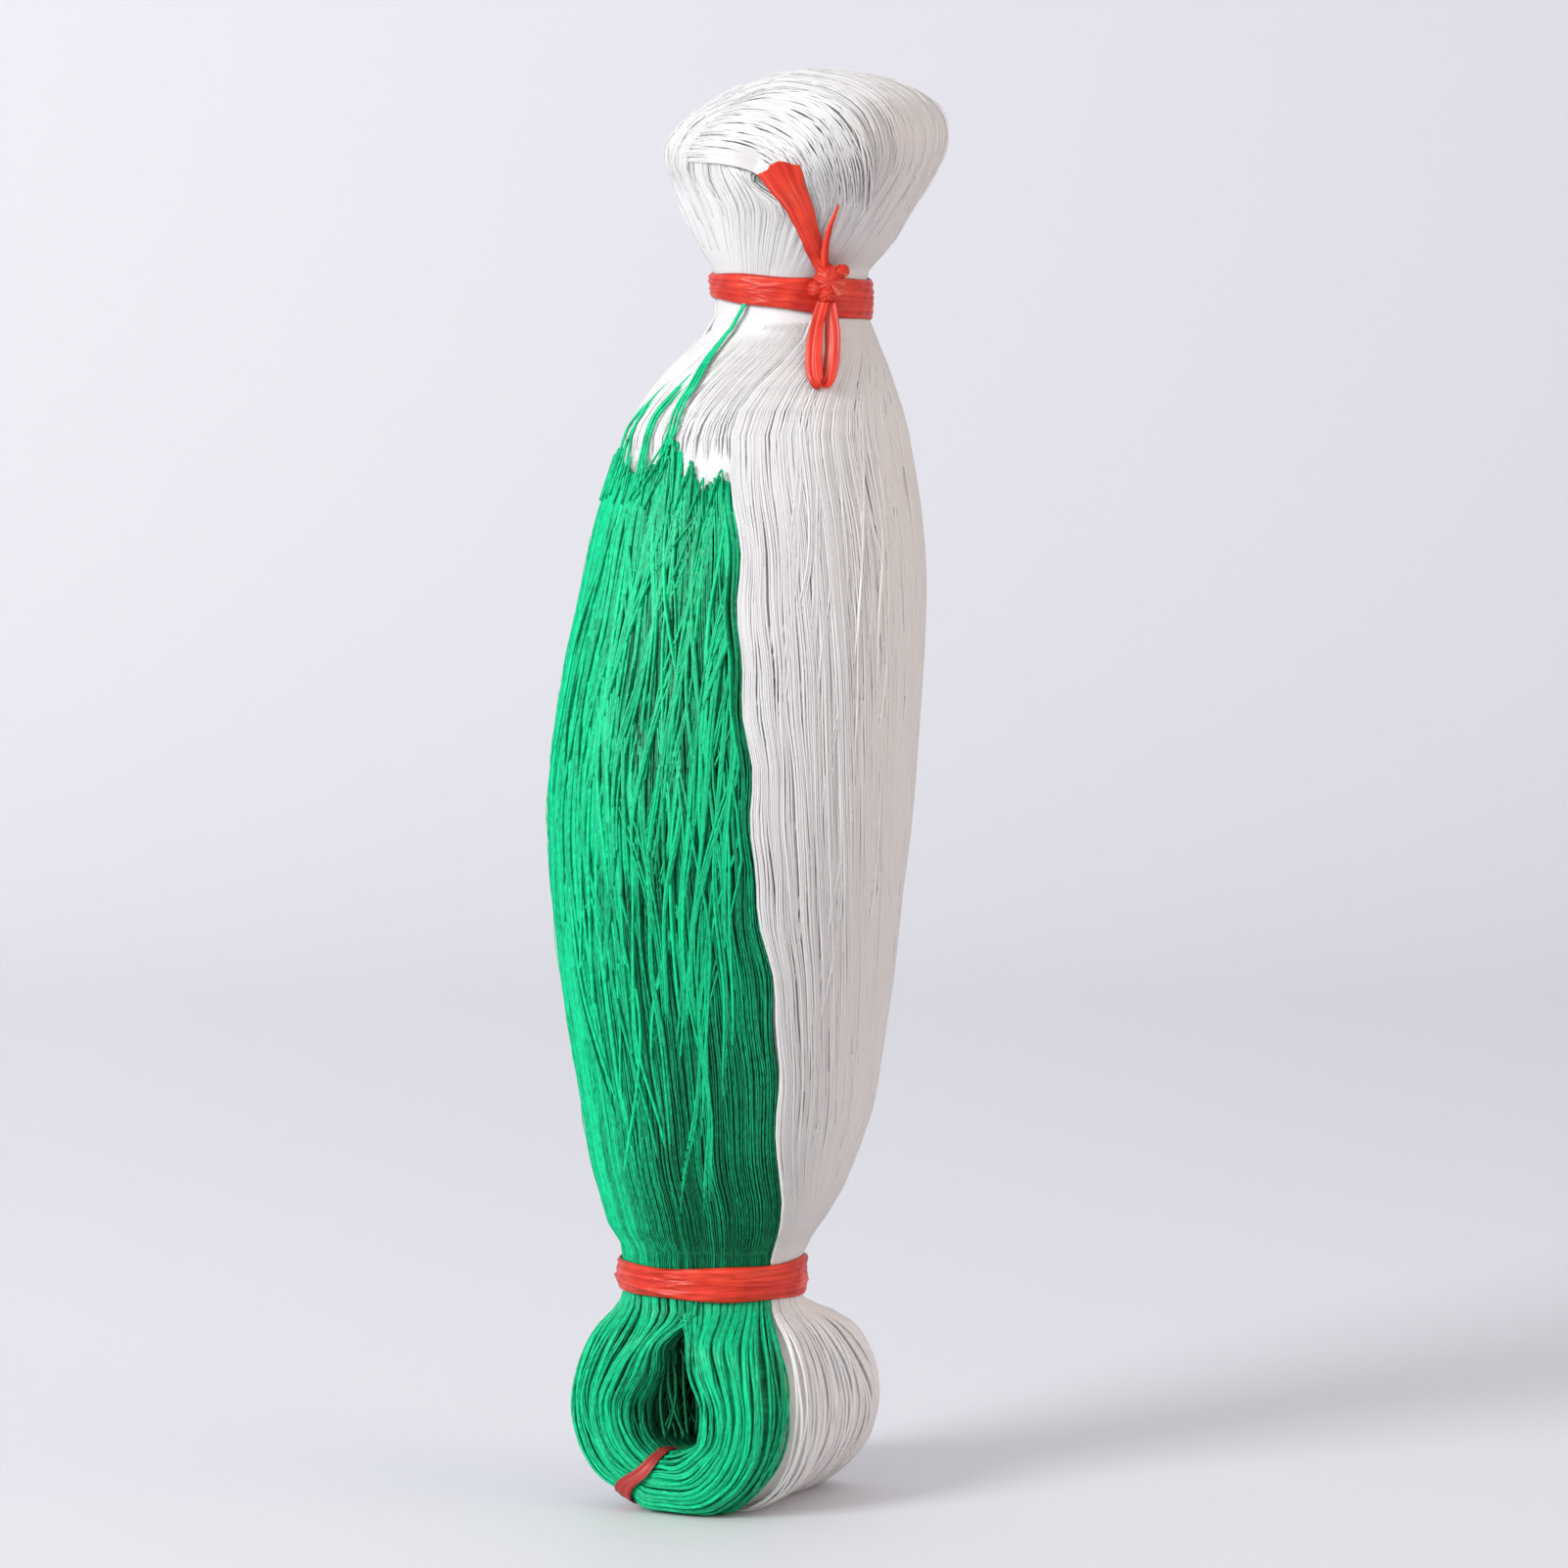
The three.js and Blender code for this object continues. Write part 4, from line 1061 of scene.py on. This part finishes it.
def hem_twines(name, rng, thin):
    """The meshes at the green's edge: each is a twine that runs up to a peak and down again, so
    its turn goes straight from foot to peak to foot and its height is a rounded roof."""
    loops = named(HEM_COLUMNS, HEM_LOOPS)
    t = np.linspace(-1, 1, 19)[None, :]
    def column(key):
        return np.array([[row[key]] for row in loops], float)
    roof = 1 - np.sqrt(t**2 + 0.02) + 0.02
    z = mixed(column("foot_z") - 6, column("peak_z"), roof)
    side = np.where(t < 0, column("left_turn"), column("right_turn"))
    turn = mixed(column("peak_turn"), side, np.abs(t)) + 0.3 * waves(rng, len(loops), 9 * t, 20, 8)
    return body_twines(name, z, turn, 0.5 + 0.9 * (1 - t**2), thin * 1.05, 0.8)


def selvage(name, thin):
    """Green twines that run on from the zigzag towards the upper tie, through their named rows."""
    rows = [open_curve(np.array(table, float), np.linspace(0, len(table) - 1, 40))
            for table in SELVAGE_TWINES]
    z, turn, rise = np.moveaxis(np.array(rows), -1, 0)
    return body_twines(name, z, turn, rise, thin * 1.15, 0.9, 5)


class HANK_OT_green_netting(bpy.types.Operator):
    """Lays the green twines at the front of the hank, up to their zigzag of meshes"""
    bl_idname = "hank.green_netting"
    bl_label = "Green netting"

    def execute(self, context):
        settings = context.scene.hank_netting
        rng = np.random.default_rng(settings.seed + 100)
        green = twine_material("green_nylon", settings.green_dark, settings.green_light,
                               rough=0.4, shine=0.25, glow=0.12, grainy=1.3)
        thin, stout = settings.twine / MM / 2, settings.loop_twine / MM / 2
        length = SKEIN.length
        start, end = SKEIN.run_at(1, GREEN_CORE_TOP) - length, SKEIN.run_at(-1, GREEN_CORE_TOP)
        made = [core("green_core", -2, GREEN_PLACE + 0.05, start, end, green_depth, 44, 150, False)]
        layers = ((0.0, "outer", 118), (0.6, "middle", 112), (1.2, "under", 96), (1.8, "deep", 84))
        for depth, label, twines in layers:
            share = np.linspace(0, 1, twines)
            top = np.interp(green_turn(GREEN_TOP, share), *np.transpose(GREEN_HEM))
            top = top - 1.0 - depth + rng.uniform(-1.2, 0.6, twines)
            made.append(body_layer(f"green_body_{label}", rng, twines, 34, green_turn, top, depth,
                                   green_mess, green_painted_shade, 0.0, 0.1, 1.25 * thin))
        foot = (SKEIN.run_at(1, LOWER_TIE) - length, SKEIN.run_at(-1, LOWER_TIE))
        made.append(skein_layer("green_loop", rng, 176, 30, (-2, GREEN_PLACE), foot, 66, 0.35, stout,
                                0.8, sides=4, crest=1.4, swell=(1.8, -1.0, 0.16), shade=1.2))
        made.append(strays("green_strays_fine", rng, 50, 1, (-48, 24), (85, 280), 12, 2.2, thin))
        made.append(strays("green_strays_locks", rng, 56, 3, (-30, 27), (84, 282), 8, 2.2, thin))
        made.append(eye_strands("green_eye_strands", rng, thin))
        side = (SKEIN.run_at(-1, 85.0), SKEIN.run_at(-1, 285.0) - 26)
        made.append(fuzz("green_fuzz", rng, 160, side, (-0.95, GREEN_PLACE), 0.6))
        made.append(hem_twines("green_meshes", rng, thin))
        made.append(selvage("green_selvage", thin))
        for piece in made:
            finished(piece, green, "green_netting")
        return {"FINISHED"}


def band_surface(name, rng, z, height, wraps, tilt, lean, flare):
    """Crumpled film wound round a neck. For a turn and a way w round the band's own section, the
    outer side is a row of ribs, one for each wrap, with lengthwise creases; the inner side is
    plain."""
    turns, outer, inner = 300, 38, 4
    neck = next(s for s in limb_sections(1) if s["kind"] == "oval" and s["z"] > z)
    turn = np.linspace(0, 2 * math.pi, turns, endpoint=False)[:, None]
    w = np.concatenate([np.linspace(0, 1, outer), np.linspace(1, 0, inner + 2)[1:-1]])[None, :]
    front = np.arange(outer + inner) < outer
    phases = rng.uniform(0, 2 * math.pi, 16)
    shift = 0.16 * np.sin(turn + phases[0]) + 0.07 * np.sin(3 * turn + phases[1])
    wrap = w * wraps + shift
    rib = (wrap % 1) ** 0.5
    creases = np.zeros_like(w + turn)
    for k, (n, slope, size) in enumerate([(1, 1, 0.5), (2, -2, 0.35), (3, 3, 0.2), (4, -1, 0.15)]):
        warp = 0.12 * np.sin(2 * turn + phases[k + 2])
        wave = np.abs(np.sin(math.pi * (n * (w + warp)) + slope * turn + phases[k + 6]))
        creases = creases + size * (1 - wave) ** 4
    crumple = 0.12 * np.sin(9 * turn + phases[12] + 5 * w) + 0.08 * np.sin(23 * turn + phases[13] - 7 * w)
    round_edge = np.sqrt(np.clip(1 - (2 * w - 1) ** 6, 0, 1))
    rise = np.where(front, round_edge * (0.6 + 0.4 * rib + creases + crumple), 0.0)
    towards = np.cos(turn - math.radians(tilt))
    half = (height + flare * towards) / 2 + 0.25 * np.sin(5 * turn + phases[14]) * np.abs(2 * w - 1)
    reach = TIE_CLEARANCE + rise
    x = neck["x"] + (neck["half_width"] + reach) * np.sin(turn)
    y = neck["y"] - (neck["half_depth"] + reach) * np.cos(turn)
    up = z + lean * towards + (2 * w - 1) * half
    points = np.stack(np.broadcast_arrays(x, y, up), -1) - BOX_MIDDLE
    circumference = 2 * math.pi * neck["half_width"] * MM
    along = np.linspace(0, circumference, turns + 1)[:, None]
    w_closed = np.append(w, w[:, :1], 1)
    uv = np.stack(np.broadcast_arrays(along, w_closed * height * MM), -1)
    return grid_surface(name, points[:, ::-1], True, True, None, uv[:, ::-1])


def ribbon_surface(name, rng, table, creases, thickness=0.35, steps=90, across=25, cut=None, lean=0.0):
    """A film ribbon along a smooth path. Over a way w across it from -1 to 1 it is folded forward
    along its middle and creased lengthwise; cut shortens its far end at each w, and lean turns
    its width from the right, 0, to the front, 1. When it leans, the side it shows inwards is
    painted paler: painted light that comes through the film."""
    rows = np.array(table, float)
    at = np.linspace(0, len(rows) - 1, steps)
    line = open_curve(rows, at)
    middle = seen_points(line[:, 0], line[:, 1], line[:, 2])
    ahead = np.gradient(middle, axis=0)
    ahead /= np.linalg.norm(ahead, axis=1, keepdims=True)
    side = np.cross(ahead, TO_VIEWER)
    if lean:
        side = mixed(TO_RIGHT, TO_VIEWER, lean)
        side = side - ahead * (side * ahead).sum(1, keepdims=True)
    side /= np.linalg.norm(side, axis=1, keepdims=True)
    front = np.cross(side, ahead)
    w = np.linspace(-1, 1, across)[None, :]
    t = np.linspace(0, 1, steps)[:, None]
    lift = line[:, 4:5] * np.cos(math.pi * w)
    for _ in range(creases):
        middle_w, size = rng.uniform(-0.9, 0.9), rng.uniform(0.15, 0.4)
        drift = rng.uniform(-0.25, 0.25)
        crease = np.maximum(0, 1 - np.abs(w - middle_w - drift * t) / 0.16)
        lift = lift + size * crease * rng.choice([-1, 1]) * np.sin(math.pi * np.clip(t * 1.1, 0, 1)) ** 0.5
    edge = 0.12 * np.sin(t * 21 + 2) + 0.08 * np.sin(t * 47)
    width = line[:, 3:4] / 2 * (1 + 0.35 * edge / np.maximum(line[:, 3:4] / 4, 1))
    reach = t if cut is None else t * (1 - cut(w))
    index = reach * (steps - 1)
    def along(values):
        low = np.minimum(index.astype(int), steps - 2)
        return mixed(values[low], values[low + 1], (index - low)[..., None])
    surface = along(middle) + along(side) * (along(width) * w[..., None])
    surface = surface + along(front) * lift[..., None]
    back = surface - along(front) * thickness
    both = np.concatenate([surface, back[:, ::-1]], 1)
    closed = (both + both[:, ::-1]) / 2
    both = np.concatenate([closed[:1], both, closed[-1:]])
    # Painted light: on a leaning ribbon the inner part of the side it shows is marked pale, for light that
    # comes through the film.
    pale = np.concatenate([np.where(w[0] < 0.3, 1.0, 0.0) * (lean > 0), 0 * w[0]])
    tone = np.broadcast_to(pale, both.shape[:2]).ravel()
    v = np.concatenate([w[0], w[0, ::-1], w[0, :1]]) * float(rows[:, 3].mean()) * MM / 2
    length = np.linalg.norm(np.diff(middle, axis=0), axis=1).sum() * MM
    u = np.concatenate([[0], np.linspace(0, length, steps), [length]])
    uv = np.stack(np.broadcast_arrays(u[:, None], v[None, :]), -1)
    return grid_surface(name, both, False, True, tone, uv)


def tail_cut(w):
    """The tail's end is cut lower on its right, with a small step on its left."""
    return 0.08 * smoothstep(0.0, 1.0, w) + 0.02 * smoothstep(-0.3, -0.5, w)


def knot_surface(name, rng):
    """The knot's lumps. For a way a round a lump and b from its low to its high pole, the radius is
    1 with sharp folds that radiate from the side that faces the viewer."""
    a = np.linspace(0, 2 * math.pi, 72, endpoint=False)[None, :]
    b = np.linspace(0.02, math.pi - 0.02, 40)[:, None]
    shapes = []
    for row in named(KNOT_COLUMNS, KNOT_LUMPS):
        right, height, front = np.sin(b) * np.cos(a), np.sin(b) * np.sin(a), np.cos(b)
        fold = np.abs(np.sin(4.5 * a + 1.6 * np.sin(2 * a) + 2.5 * b + rng.uniform(0, 6)))
        finer = np.abs(np.sin(9 * a - 3 * b + rng.uniform(0, 6)))
        reach = 1.03 - 0.15 * fold * np.sin(b) - 0.08 * finer * np.sin(b)
        front = front * reach
        right, height = right * reach * row["half_width"], height * reach * row["half_height"]
        tilt = math.radians(row["tilt"])
        turned_right = right * math.cos(tilt) - height * math.sin(tilt)
        turned_height = right * math.sin(tilt) + height * math.cos(tilt)
        shapes.append(seen_points(row["right"] + turned_right, row["front"] + front * row["half_front"],
                                  row["height"] + turned_height))
    uv = np.stack(np.broadcast_arrays(b * 0.004, a * 0.002), -1)
    return joined_grids(name, shapes, uv)


def joined_grids(name, shapes, uv):
    """One object of several grids that are closed round their columns and capped at both ends."""
    rows, columns = shapes[0].shape[:2]
    i = np.arange(rows - 1)[:, None]
    j = np.arange(columns)[None, :]
    quads = np.stack([i * columns + j, (i + 1) * columns + j, (i + 1) * columns + (j + 1) % columns,
                      i * columns + (j + 1) % columns], -1).reshape(-1, 4)
    ring = np.arange(columns)
    ends = np.stack([ring, (rows - 1) * columns + ring[::-1]])
    base = np.arange(len(shapes)) * rows * columns
    points = np.concatenate([shape.reshape(-1, 3) for shape in shapes]) * MM
    kinds = (quads, ends)
    faces = [(kind + base[:, None, None]).reshape(-1, kind.shape[1]) for kind in kinds]
    coords = [np.tile(uv.reshape(-1, 2)[kind.ravel()], (len(shapes), 1)) for kind in kinds]
    return mesh_object(name, points, faces, np.concatenate(coords))


def tie_run(place):
    """The run at which the loop tie lies: it slants towards the foot at the eye."""
    round_eye = np.where(place > 1, place - 4, place)
    return TIE_RUN - TIE_SLANT * smoothstep(-0.45, -1.0, round_eye) * smoothstep(-3.0, -2.4, round_eye)


def loop_tie_surface(name, rng):
    """The narrow film round the left limb of the lower loop. Over a way w across it, it is creased
    lengthwise; inside the eye it sinks between the clumps of twines."""
    places, across = 200, 13
    place = np.linspace(-1, 3, places, endpoint=False)[:, None]
    w = np.linspace(-1, 1, across)[None, :]
    phase = rng.uniform(0, 6, 3)
    crease = 0.25 * np.abs(np.sin(3.2 * w + 4 * place + phase[0]))
    crease = crease + 0.15 * np.abs(np.sin(7 * w - 6 * place + phase[1]))
    sunk = 1.9 * smoothstep(1.05, 1.3, place) * smoothstep(2.95, 2.7, place)
    rise = TIE_CLEARANCE + 0.9 + crease - sunk + 0.15 * np.sin(9 * place + phase[2])
    run = tie_run(place) + (2.7 + 0.25 * np.sin(11 * place)) * w
    run, place, rise = np.broadcast_arrays(run, place, rise)
    outer = above_floor(SKEIN.point(run, place, rise), 0.55)
    inner = above_floor(SKEIN.point(run, place, rise - 0.4), 0.15)
    both = np.concatenate([outer, inner[:, ::-1]], 1)
    length = place / 4 * 0.19
    uv = np.stack([length, w * 0.0026 + 0 * length], -1)
    uv = np.concatenate([uv, uv[:, ::-1], uv[:, :1]], 1)
    uv = np.concatenate([uv, uv[:1]])
    return grid_surface(name, both[::-1], True, True, None, uv[::-1])


class RaffiaSettings(bpy.types.PropertyGroup):
    red_deep: bpy.props.FloatVectorProperty(
        name="Red, deep", description="Red film where it is folded", default=(0.46, 0.012, 0.006),
        size=3, subtype="COLOR")
    red_lit: bpy.props.FloatVectorProperty(
        name="Red, lit", description="Red film where light comes through", default=(0.90, 0.07, 0.03),
        size=3, subtype="COLOR")
    # Painted light: the pale colour stands in for light that comes through the film.
    red_painted_light: bpy.props.FloatVectorProperty(
        name="Red, pale", description="Red film where it is single", default=(0.93, 0.24, 0.17),
        size=3, subtype="COLOR")
    dull_deep: bpy.props.FloatVectorProperty(
        name="Loop tie, deep", description="Loop tie where it is folded", default=(0.34, 0.02, 0.02),
        size=3, subtype="COLOR")
    dull_lit: bpy.props.FloatVectorProperty(
        name="Loop tie, lit", description="Loop tie where light comes through",
        default=(0.62, 0.10, 0.08), size=3, subtype="COLOR")
    seed: bpy.props.IntProperty(name="Seed", description="Seed of the creases", default=3)


class HANK_OT_ties(bpy.types.Operator):
    """Winds the raffia ties round both necks and ties the upper one's knot, tail and bow"""
    bl_idname = "hank.ties"
    bl_label = "Raffia ties"

    def execute(self, context):
        settings = context.scene.hank_raffia
        rng = np.random.default_rng(settings.seed)
        red = raffia_material("red_film", settings.red_deep, settings.red_lit, settings.red_painted_light, 0.38)
        bands = {
            "lower_tie_band": dict(z=LOWER_TIE, height=9.4, wraps=3, tilt=120, lean=-0.2, flare=1.2),
            "upper_tie_band": dict(z=UPPER_TIE, height=9.4, wraps=2, tilt=120, lean=-2, flare=2.2),
        }
        for node, sizes in bands.items():
            piece = band_surface(node + "_film", rng, **sizes)
            finished(piece, red, node)
        tail = ribbon_surface("upper_tie_tail_film", rng, TAIL_ROWS, 5, cut=tail_cut)
        finished(tail, red, "upper_tie_tail")
        bow = ribbon_surface("upper_tie_loop_film", rng, BOW_ROWS, 3, steps=160, lean=0.42)
        finished(bow, red, "upper_tie_loop")
        knot = knot_surface("upper_tie_knot_film", rng)
        finished(knot, red, "upper_tie_knot")
        wisp = ribbon_surface("upper_tie_wisp_film", rng, WISP_ROWS, 2, steps=40)
        finished(wisp, red, "upper_tie_knot")
        dull = raffia_material("dull_film", settings.dull_deep, settings.dull_lit, settings.dull_lit, 0.45)
        loop = loop_tie_surface("loop_tie_film", rng)
        finished(loop, dull, "loop_tie")
        return {"FINISHED"}


class StageSettings(bpy.types.PropertyGroup):
    card_power: bpy.props.FloatProperty(
        name="Card", description="Power of the weak warm light on the right in watts", default=12.0)
    # Painted light and shade: the paper is lighter on the left, towards the key light, and darker to the
    # right.
    paper_painted_light: bpy.props.FloatVectorProperty(
        name="Paper, left", description="Paper of the floor and wall on the left",
        default=(0.71, 0.72, 0.76), size=3, subtype="COLOR")
    paper_painted_shade: bpy.props.FloatVectorProperty(
        name="Paper, right", description="Paper of the floor and wall on the right",
        default=(0.62, 0.62, 0.67), size=3, subtype="COLOR")
    camera_turn: bpy.props.FloatProperty(
        name="Camera turn", description="Turn of the camera to the right of the front",
        default=math.radians(30), subtype="ANGLE")
    camera_pitch: bpy.props.FloatProperty(
        name="Camera pitch", description="How far the camera looks down",
        default=math.radians(4.96), subtype="ANGLE")
    camera_distance: bpy.props.FloatProperty(
        name="Camera distance", description="Level distance to the aim point", default=2.0,
        unit="LENGTH")
    camera_lens: bpy.props.FloatProperty(
        name="Lens", description="Focal length in mm on a 36 mm sensor", default=164.8)
    key_power: bpy.props.FloatProperty(
        name="Key light", description="Power of the key light in watts", default=166.0)


# The stage, in metres, seen from the camera's turn: to the right, out to the front, and up.
AIM_RIGHT, AIM_HEIGHT = 0.0155, 0.2015
SENSOR_MM = 36.0
FLOOR_FRONT, FLOOR_BACK, BEND, WALL_TOP = 3.0, -1.2, 0.8, 4.0
KEY_PLACE, KEY_SIZE, KEY_COLOUR = (-3.0, 2.65, 2.1), 1.8, (1.0, 1.0, 1.0)
CARD_PLACE, CARD_SIZE, CARD_COLOUR = (1.7, 0.9, 0.8), 1.6, (1.0, 0.72, 0.52)
LIGHT_FOCUS = Vector((0, 0, 0.2))
WORLD_COLOUR, WORLD_STRENGTH = (0.97, 0.97, 1.0, 1), 0.72


def turned(turn, right, front, up):
    """A point seen from a turn round the hank: to the right, out to the front, and up, in metres."""
    x = right * math.cos(turn) + front * math.sin(turn) - BOX_MIDDLE[0] * MM
    y = right * math.sin(turn) - front * math.cos(turn) - BOX_MIDDLE[1] * MM
    return Vector((x, y, up))


def area_light(name, place, size, power, colour):
    """A round area light that faces LIGHT_FOCUS."""
    data = bpy.data.lights.new(name, "AREA")
    data.shape, data.size, data.energy, data.color = "DISK", size, power, colour
    light = bpy.data.objects.new(name, data)
    light.location = place
    light.rotation_euler = (LIGHT_FOCUS - place).to_track_quat("-Z", "Y").to_euler()
    bpy.context.scene.collection.objects.link(light)


class HANK_OT_stage(bpy.types.Operator):
    """Adds the pale floor, the soft studio light and the camera"""
    bl_idname = "hank.stage"
    bl_label = "Stage"

    def execute(self, context):
        settings = context.scene.hank_stage
        turn = settings.camera_turn
        aim = turned(turn, AIM_RIGHT, 0.0, AIM_HEIGHT)
        drop = settings.camera_distance * math.tan(settings.camera_pitch)
        camera_data = bpy.data.cameras.new("camera")
        camera_data.lens, camera_data.sensor_width = settings.camera_lens, SENSOR_MM
        camera = bpy.data.objects.new("camera", camera_data)
        camera.location = turned(turn, AIM_RIGHT, settings.camera_distance, AIM_HEIGHT + drop)
        camera.rotation_euler = (aim - camera.location).to_track_quat("-Z", "Y").to_euler()
        context.scene.collection.objects.link(camera)
        context.scene.camera = camera

        angle = np.linspace(0.1, 1.57, 14)
        depth = np.concatenate([np.linspace(FLOOR_FRONT, FLOOR_BACK, 10),
                                FLOOR_BACK - BEND * np.sin(angle), np.full(4, FLOOR_BACK - BEND)])
        height = np.concatenate([np.zeros(10), BEND * (1 - np.cos(angle)), np.linspace(1.0, WALL_TOP, 4)])
        right, front = np.meshgrid(np.linspace(-4, 4, 9), depth)
        up = np.broadcast_to(height[:, None], right.shape)
        x = right * math.cos(turn) + front * math.sin(turn)
        y = right * math.sin(turn) - front * math.cos(turn)
        sweep = grid_surface("sweep", np.stack([x, y, up], -1) / MM)
        graph = Graph("sweep_paper")
        across, height = graph.across(turn)
        # Painted light and shade: the paper blends from its lighter colour on the left to its darker one
        # to the right and upwards.
        share = (across * 0.8 + height * 0.5 + 0.3).clamped()
        colour = graph.blended(share, rgba(settings.paper_painted_light), rgba(settings.paper_painted_shade))
        sweep.data.materials.append(graph.finish(graph.shaded(Base_Color=colour, Roughness=0.6)))

        area_light("key", turned(turn, *KEY_PLACE), KEY_SIZE, settings.key_power, KEY_COLOUR)
        area_light("card", turned(turn, *CARD_PLACE), CARD_SIZE, settings.card_power, CARD_COLOUR)
        world = bpy.data.worlds.new("studio")
        world.use_nodes = True
        background = world.node_tree.nodes["Background"]
        background.inputs[0].default_value = WORLD_COLOUR
        background.inputs[1].default_value = WORLD_STRENGTH
        context.scene.world = world
        context.scene.view_settings.view_transform = "Standard"
        return {"FINISHED"}


class HANK_PT_panel(bpy.types.Panel):
    """Lists the hank's operators and their settings"""
    bl_label = "Trellis netting hank"
    bl_idname = "HANK_PT_panel"
    bl_space_type = "VIEW_3D"
    bl_region_type = "UI"
    bl_category = "Hank"

    def draw(self, context):
        for operator in OPERATORS:
            self.layout.operator(operator.bl_idname)
        for group in ("hank_netting", "hank_raffia", "hank_stage"):
            box = self.layout.box()
            settings = getattr(context.scene, group)
            for key in settings.bl_rna.properties.keys()[2:]:  # the first two are Blender's own
                box.prop(settings, key)


OPERATORS = (HANK_OT_stage, HANK_OT_white_netting, HANK_OT_green_netting, HANK_OT_ties)
GROUPS = {"hank_netting": NettingSettings, "hank_raffia": RaffiaSettings, "hank_stage": StageSettings}


def register():
    for kind in (*GROUPS.values(), *OPERATORS, HANK_PT_panel):
        bpy.utils.register_class(kind)
    for name, kind in GROUPS.items():
        setattr(bpy.types.Scene, name, bpy.props.PointerProperty(type=kind))


def unregister():
    for name in GROUPS:
        delattr(bpy.types.Scene, name)
    for kind in (HANK_PT_panel, *reversed(OPERATORS), *GROUPS.values()):
        bpy.utils.unregister_class(kind)


def main():
    """Builds the scene through the operators."""
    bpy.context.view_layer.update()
    register()
    bpy.ops.hank.stage()
    bpy.ops.hank.white_netting()
    bpy.ops.hank.green_netting()
    bpy.ops.hank.ties()


if __name__ == "__main__":
    main()
